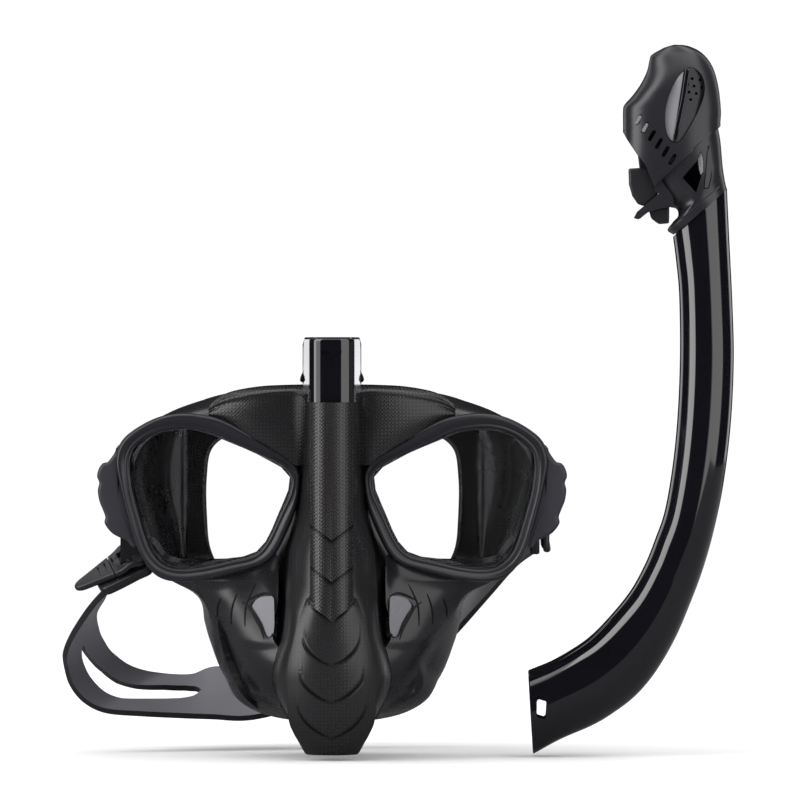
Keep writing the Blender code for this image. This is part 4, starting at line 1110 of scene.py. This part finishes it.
# ------------------------------------------------------------------ dry top
def tilted(outline, y_at, back):
    """Solid whose front face follows y_at(x, z), for facets that catch the light."""
    pts = np.array(outline, float)
    front = [(x, y_at(x, z), z) for x, z in pts]
    return loft([front, [(x, back, z) for x, z in pts]])


def build_dry_top():
    circle = oval(96, 2.35)
    left = spline([(142.3, 108.4), (139.8, 110.2), (141.6, 113.0), (143.8, 115.3), (144.3, 117.4),
                   (143.4, 119.2),
                   (141.2, 119.8), (139.6, 120.8), (136.8, 124.2), (133.4, 130.2)], 60)
    right = spline([(164.5, 127.5), (163.7, 131), (162.8, 137), (161.9, 147), (160.8, 153.4)], 60)
    depth = np.linspace(12.9, 13.4, 60)
    lip = np.concatenate([np.full(8, 0.55), np.full(52, 0.0)])
    outer = edge_rings(left, right, depth + lip, 0.0, circle)
    tuck = edge_rings(left[-1:] + [0.4, 1.0], right[-1:] + [-0.6, 3.6], depth[-1:], 1.1, circle)
    tuck2 = edge_rings(left[-1:] + [2.6, 6.0], right[-1:] + [-0.9, 9.0], depth[-1:], 1.1, circle)
    inner = edge_rings(left, right, depth, 2.2, circle)
    base = put("top_base", loft(outer + tuck + tuck2 + inner[::-1], closed=True), "satin", "snorkel",
               ["dry_top_base"])
    big = [(145.8, 132.3), (151.9, 139.4), (152.5, 135.4), (153.8, 133.6), (151.5, 126.1)]
    sliver = [(151.9, 140.2), (153.6, 143.4), (154.7, 139.6), (154.8, 134.6), (153.4, 132.8), (152.4, 135.8)]
    loop = [(154.5, 127.6), (155.3, 135.4), (155.9, 143.0), (157.3, 147.2), (158.1, 143.4), (158.4, 138.8),
            (157.9, 132.2), (156.8, 127.8)]
    tools = [tool(prism_y(big, -58, -49)), tool(prism_y(sliver, -58, -51.2)), tool(prism_y(loop, -58, -51.6))]
    carve(base, tools)
    bevel(base, 0.22, 2, 50)
    # Pale tilted plate on the base: painted highlight.
    face = tilted([(152.2, 140.1), (153.6, 142.8), (154.4, 139.4), (154.5, 134.7), (153.4, 133.4),
                   (152.7, 135.9)],
                  lambda x, z: -52.9 + 0.2 * (157 - x), -49)
    put("base_painted_highlight", face, "pale", "snorkel", (), sharp=30)
    face = tilted([(155.0, 128.1), (155.7, 135.4), (156.3, 142.9), (157.2, 145.6), (157.7, 143.2),
                   (158.0, 138.8),
                   (157.5, 132.4), (156.5, 128.2)],
                  lambda x, z: -52.6 + 0.35 * (x - 155), -49)
    put("base_inlay", face, "satin", "snorkel", (), sharp=30)

    shelf = [(125.9, 115.4), (127.2, 117.2), (129.9, 119.5), (136.4, 124.9), (137.4, 127.6), (141.6, 125.0),
             (142.6, 120.2), (136.4, 119.3), (131.4, 117.8), (127.8, 114.9)]
    lip = [(x - 0.35 * (x < 137), z + 0.8 * (z > 117 and x < 137)) for x, z in shelf]
    lip[4:5] = [(134.6, 126.4), (133.9, 129.3), (136.4, 132.0)]
    put("shelf_lip", prism_y(lip, -51.3, -49.4), "satin", "snorkel", (), sharp=30)
    bevel(put("shelf", prism_y(shelf, -51.2, -29.0), "satin", "snorkel", ["float_shelf"], sharp=30),
          0.6)
    rubber = [(132.2, 118.2), (136.1, 119.4), (140.5, 120.0), (140.4, 113.2), (136.1, 112.8), (133.0, 115.1)]
    bevel(put("drain", prism_y(rubber, -46.5, -33.5), "seal", "snorkel", ["drain_flap"], sharp=30),
          0.7)

    left = spline([(118.0, 122.0), (119.6, 135.0), (121.0, 145.0), (121.2, 151.6), (121.2, 159.9),
                   (121.8, 162.5), (125.2, 166.4),
                   (128.6, 171.2), (131.2, 176.6), (132.2, 181.0), (133.2, 183.4), (138.4, 186.4)], 70)
    right = spline([(166.0, 122.0), (164.0, 137.0), (162.9, 146.0), (161.9, 154.0), (162.1, 160.0),
                    (161.2, 169.0), (159.4, 176.4),
                    (156.9, 181.2), (153.3, 184.8), (149.0, 186.9), (146.2, 187.5)], 70)
    k = np.linspace(0, 1, 70)
    depth = 13.9 * (1 - smooth(0.66, 1.06, k) * 0.74)
    outer = edge_rings(left, right, depth, 0.0, circle)
    inner = edge_rings(left[:66], right[:66], depth[:66], 1.7, circle)
    end = outer[-1]
    mid = end.mean(axis=0) + [0.2, 0, 0.35]
    tops = [mid + (end - mid) * s + np.array([0, 0, 0.35 * (1 - s)]) for s in (0.8, 0.5, 0.15)]
    cap = put("top_cap", loft(inner[::-1] + outer + tops, fan=True), "satin", "snorkel", ["dry_top_cap"])
    seam = [(170, 161.6), (161.4, 153.2), (153.4, 146.3), (143.5, 137.6), (133.9, 128.6), (131.9, 133.6),
            (130.4, 137.6), (127.3, 141.7), (123.1, 147.9), (121.0, 151.6), (112.0, 151.6), (112.0, 118.0),
            (174.0, 118.0), (174.0, 161.6)]
    tools = [tool(prism_y(seam, -60, -20))]
    for q in range(6):
        c = np.array([127.4 + 2.84 * q, 156.4 - 3.3 * q])
        d = np.array([0.5, 0.866])
        n = np.array([0.866, -0.5])
        ring = [c + d * (1.7 * math.copysign(1, math.cos(a)) + 0.85 * math.cos(a)) + n * 0.85 * math.sin(a)
                for a in np.linspace(0.01, 2 * math.pi + 0.01, 20, endpoint=False)]
        tools.append(tool(prism_y(ring, -58, -50.4 if q in (0, 1, 5) else -46)))
        # The first two slot inserts are pale: painted reflection on their tilted floors. The last insert is
        # plain satin.
        if q in (0, 1, 5):
            small = c + (np.array(ring) - c) * (0.8 if q < 5 else 0.62)
            put("slot_insert_%d" % q, prism_y(small, -52.2 + 0.5 * (q == 0), -49.8),
                "pale" if q < 5 else "satin",
                "snorkel", (), sharp=30)
    recess = spline([(149.8, 178.2), (154.0, 174.6), (155.0, 168.0), (152.6, 160.5), (148.4, 152.6),
                     (144.6, 147.4),
                     (140.9, 147.6), (138.8, 152.8), (138.9, 161.6), (141.8, 170.6), (145.6,
                                                                                      176.2)], 80, closed=True)
    tools.append(tool(prism_y(recess, -58, -47.0)))
    carve(cap, tools)
    bevel(cap, 0.28, 2, 55)

    ridge = [(147.2, 176.6), (142.6, 147.6)]

    def split(z):
        return ridge[1][0] + (ridge[0][0] - ridge[1][0]) * (z - ridge[1][1]) / (ridge[0][1] - ridge[1][1])

    mid = recess.mean(axis=0)
    rings = []
    for f in (0.04, 0.25, 0.45, 0.65, 0.85, 0.985):
        row = []
        for x, z in mid + (recess - mid) * f:
            off = x - split(z)
            y = -53.2 + (-0.22 * off if off < 0 else 0.20 * off)
            row.append((x, y, z))
        rings.append(row)
    rings.append([(x, -47.5, z) for x, z in mid + (recess - mid) * 0.985])
    rings.append([(x, -47.5, z) for x, z in mid + (recess - mid) * 0.04])
    obj = put("panel", loft(rings, fan=True), "satin", "snorkel", ["vent_panel"], sharp=25)
    tools = [tool(rod((x, -58, z), (x, -44, z), 0.62, 18)) for x, z in
             ((149.8, 173.5), (153.1, 172.9), (147.9, 171.0), (150.6, 170.4), (153.8, 169.8), (148.5, 167.9),
              (151.5, 167.3), (149.2, 164.8))]
    carve(obj, tools)
    # Pale plate over the panel's left half, which faces the key light: painted highlight.
    pale = np.array([(x, z) for x, z in recess if x < split(z) - 0.4])
    core = pale.mean(axis=0)
    vf = tilted(core + (pale - core) * 0.965, lambda x, z: -53.5 - 0.22 * (x - split(z)), -50.5)
    put("panel_painted_highlight", vf, "pale", "snorkel", (), sharp=30)
    arc = np.array([(x, z) for x, z in recess if x > split(z) + 3 and z > 158])
    k = np.sin(np.linspace(0, math.pi, len(arc)))[:, None]
    vf = prism_y(np.concatenate([arc, (arc + (mid - arc) * 0.13 * k)[::-1]]), -53.2, -50.0)
    put("panel_crescent", vf, "gloss", "snorkel", (), sharp=30)
    blade = [(147.0, 177.6), (148.9, 177.2), (147.6, 168.0), (145.4, 157.0), (143.6, 148.4), (141.6, 148.0),
             (142.6, 153.0), (145.2, 165.0)]
    bevel(put("panel_blade", prism_y(blade, -54.0, -51.0), "gloss", "snorkel", (), sharp=30), 0.35)

    block = [(123.6, 135.9), (131.0, 136.3), (131.7, 134.8), (136.0, 125.5), (129.8, 120.3),
             (127.4, 121.2), (125.2, 124.4), (123.8, 129.2)]
    bevel(put("float_box", prism_y(block, -48.6, -31.4), "satin", "float", ["float_block"],
              sharp=30), 0.8)
    post = [(127.2, 143.5), (130.6, 143.5), (131.4, 135.4), (128.2, 135.4)]
    bevel(put("float_post", prism_y(post, -43.5, -36.5), "seal", "float", (), sharp=30), 0.5)


# ------------------------------------------------------------------ kept CAD nodes
def dress_nodes():
    slots = {s["node"]: s["material_slot"] for s in frame["record"]["subparts"]}
    for name, obj in frame["nodes"].items():
        obj.data.materials.clear()
        obj.data.materials.append(MAT[{"pocket": "skirt_in"}.get(slots[name], slots[name])])
        obj.data.shade_smooth()
        obj.data.set_sharp_from_angle(angle=math.radians(32))


# ------------------------------------------------------------------ stage, light, camera
def build_stage():
    floor = put("floor", ([(FLOOR_HALF * a, FLOOR_HALF * b, FLOOR_Z) for a,
                           b in ((-1, -1), (1, -1), (1, 1), (-1, 1))],
                          [(0, 1, 2, 3)]), "inner", None)
    mat, tree, bsdf = base_material("floor", (0.93, 0.93, 0.935), 0.9)
    # The floor turns dark grey in glossy rays only: painted shade in the reflections on the object's
    # downward-facing surfaces.
    in_reflection = node(tree, "ShaderNodeLightPath").outputs["Is Glossy Ray"]
    mix = node(tree, "ShaderNodeMix", data_type="RGBA")
    mix.inputs[6].default_value = (0.93, 0.93, 0.935, 1)
    mix.inputs[7].default_value = (0.16, 0.16, 0.165, 1)
    through = node(tree, "ShaderNodeLightPath").outputs["Is Transmission Ray"]
    tree.links.new(math_node(tree, "SUBTRACT", in_reflection, through, clamp=True), mix.inputs[0])
    tree.links.new(mix.outputs[2], bsdf.inputs["Base Color"])
    floor.data.materials.clear()
    floor.data.materials.append(mat)


def build_world():
    world = bpy.data.worlds.new("studio")
    bpy.context.scene.world = world
    world.use_nodes = True
    tree = world.node_tree
    tree.nodes.clear()
    d = node(tree, "ShaderNodeTexCoord").outputs["Generated"]
    sep = node(tree, "ShaderNodeSeparateXYZ")
    tree.links.new(d, sep.inputs[0])
    x, y, z = sep.outputs
    az = mul(tree, math_node(tree, "ARCTAN2", x, mul(tree, y, -1.0)), DEGREES)
    el = mul(tree, math_node(tree, "ARCSINE", z), DEGREES)

    def ramp(v, a, b):
        n = node(tree, "ShaderNodeMapRange", interpolation_type="SMOOTHSTEP")
        tree.links.new(v, n.inputs[0])
        n.inputs[1].default_value = a
        n.inputs[2].default_value = b
        return n.outputs[0]

    def band(v, a, b, soft):
        return mul(tree, ramp(v, a - soft, a + soft), ramp(v, b + soft, b - soft))

    def area(a0, a1, e0, e1, power, soft=2.0):
        return mul(tree, mul(tree, band(az, a0, a1, soft), band(el, e0, e1, soft)), power)

    parts = [area(-82, -51, -30, 58, 4.6), area(20, 72, -30, 58, 1.9, 4.0),
             mul(tree, band(el, 58, 80, 4), 2.2),
             band(math_node(tree, "ABSOLUTE", az), 128, 148, 3.0)]
    total = 0.012
    for p in parts:
        total = math_node(tree, "ADD", p, total)
    path = node(tree, "ShaderNodeLightPath")
    direct = math_node(tree, "MAXIMUM", path.outputs["Is Camera Ray"], path.outputs["Is Transmission Ray"])
    diffuse = path.outputs["Is Diffuse Ray"]
    plain = math_node(tree, "MAXIMUM", direct, diffuse)
    mix = node(tree, "ShaderNodeMix", data_type="FLOAT")
    tree.links.new(plain, mix.inputs[0])
    tree.links.new(total, mix.inputs[2])
    mix.inputs[3].default_value = 1.04
    bg = node(tree, "ShaderNodeBackground")
    bg.inputs[0].default_value = (1.0, 1.0, 1.0, 1)
    tree.links.new(mix.outputs[0], bg.inputs[1])
    out = node(tree, "ShaderNodeOutputWorld")
    tree.links.new(bg.outputs[0], out.inputs[0])


def build_camera():
    cam = bpy.data.cameras.new("camera")
    obj = bpy.data.objects.new("camera", cam)
    bpy.context.scene.collection.objects.link(obj)
    target = Vector((0.0283, -0.045, 0.0396))
    el = math.radians(1.5)
    obj.location = target + Vector((0, -math.cos(el) * CAMERA_DISTANCE, math.sin(el) * CAMERA_DISTANCE))
    obj.rotation_euler = (target - obj.location).to_track_quat("-Z", "Y").to_euler()
    cam.sensor_width = 36
    cam.lens = 36 * CAMERA_DISTANCE / FRAME_WIDTH
    cam.clip_end = 60
    bpy.context.scene.camera = obj


dress_nodes()
build_lenses()
build_skirt()
build_pocket()
build_ridge()
build_spine()
build_lower()
build_brow()
build_spigot()
build_lugs()
build_buckles()
build_strap()
build_tube()
build_dry_top()
build_stage()
build_world()
build_camera()
bpy.context.scene.view_settings.view_transform = "Standard"
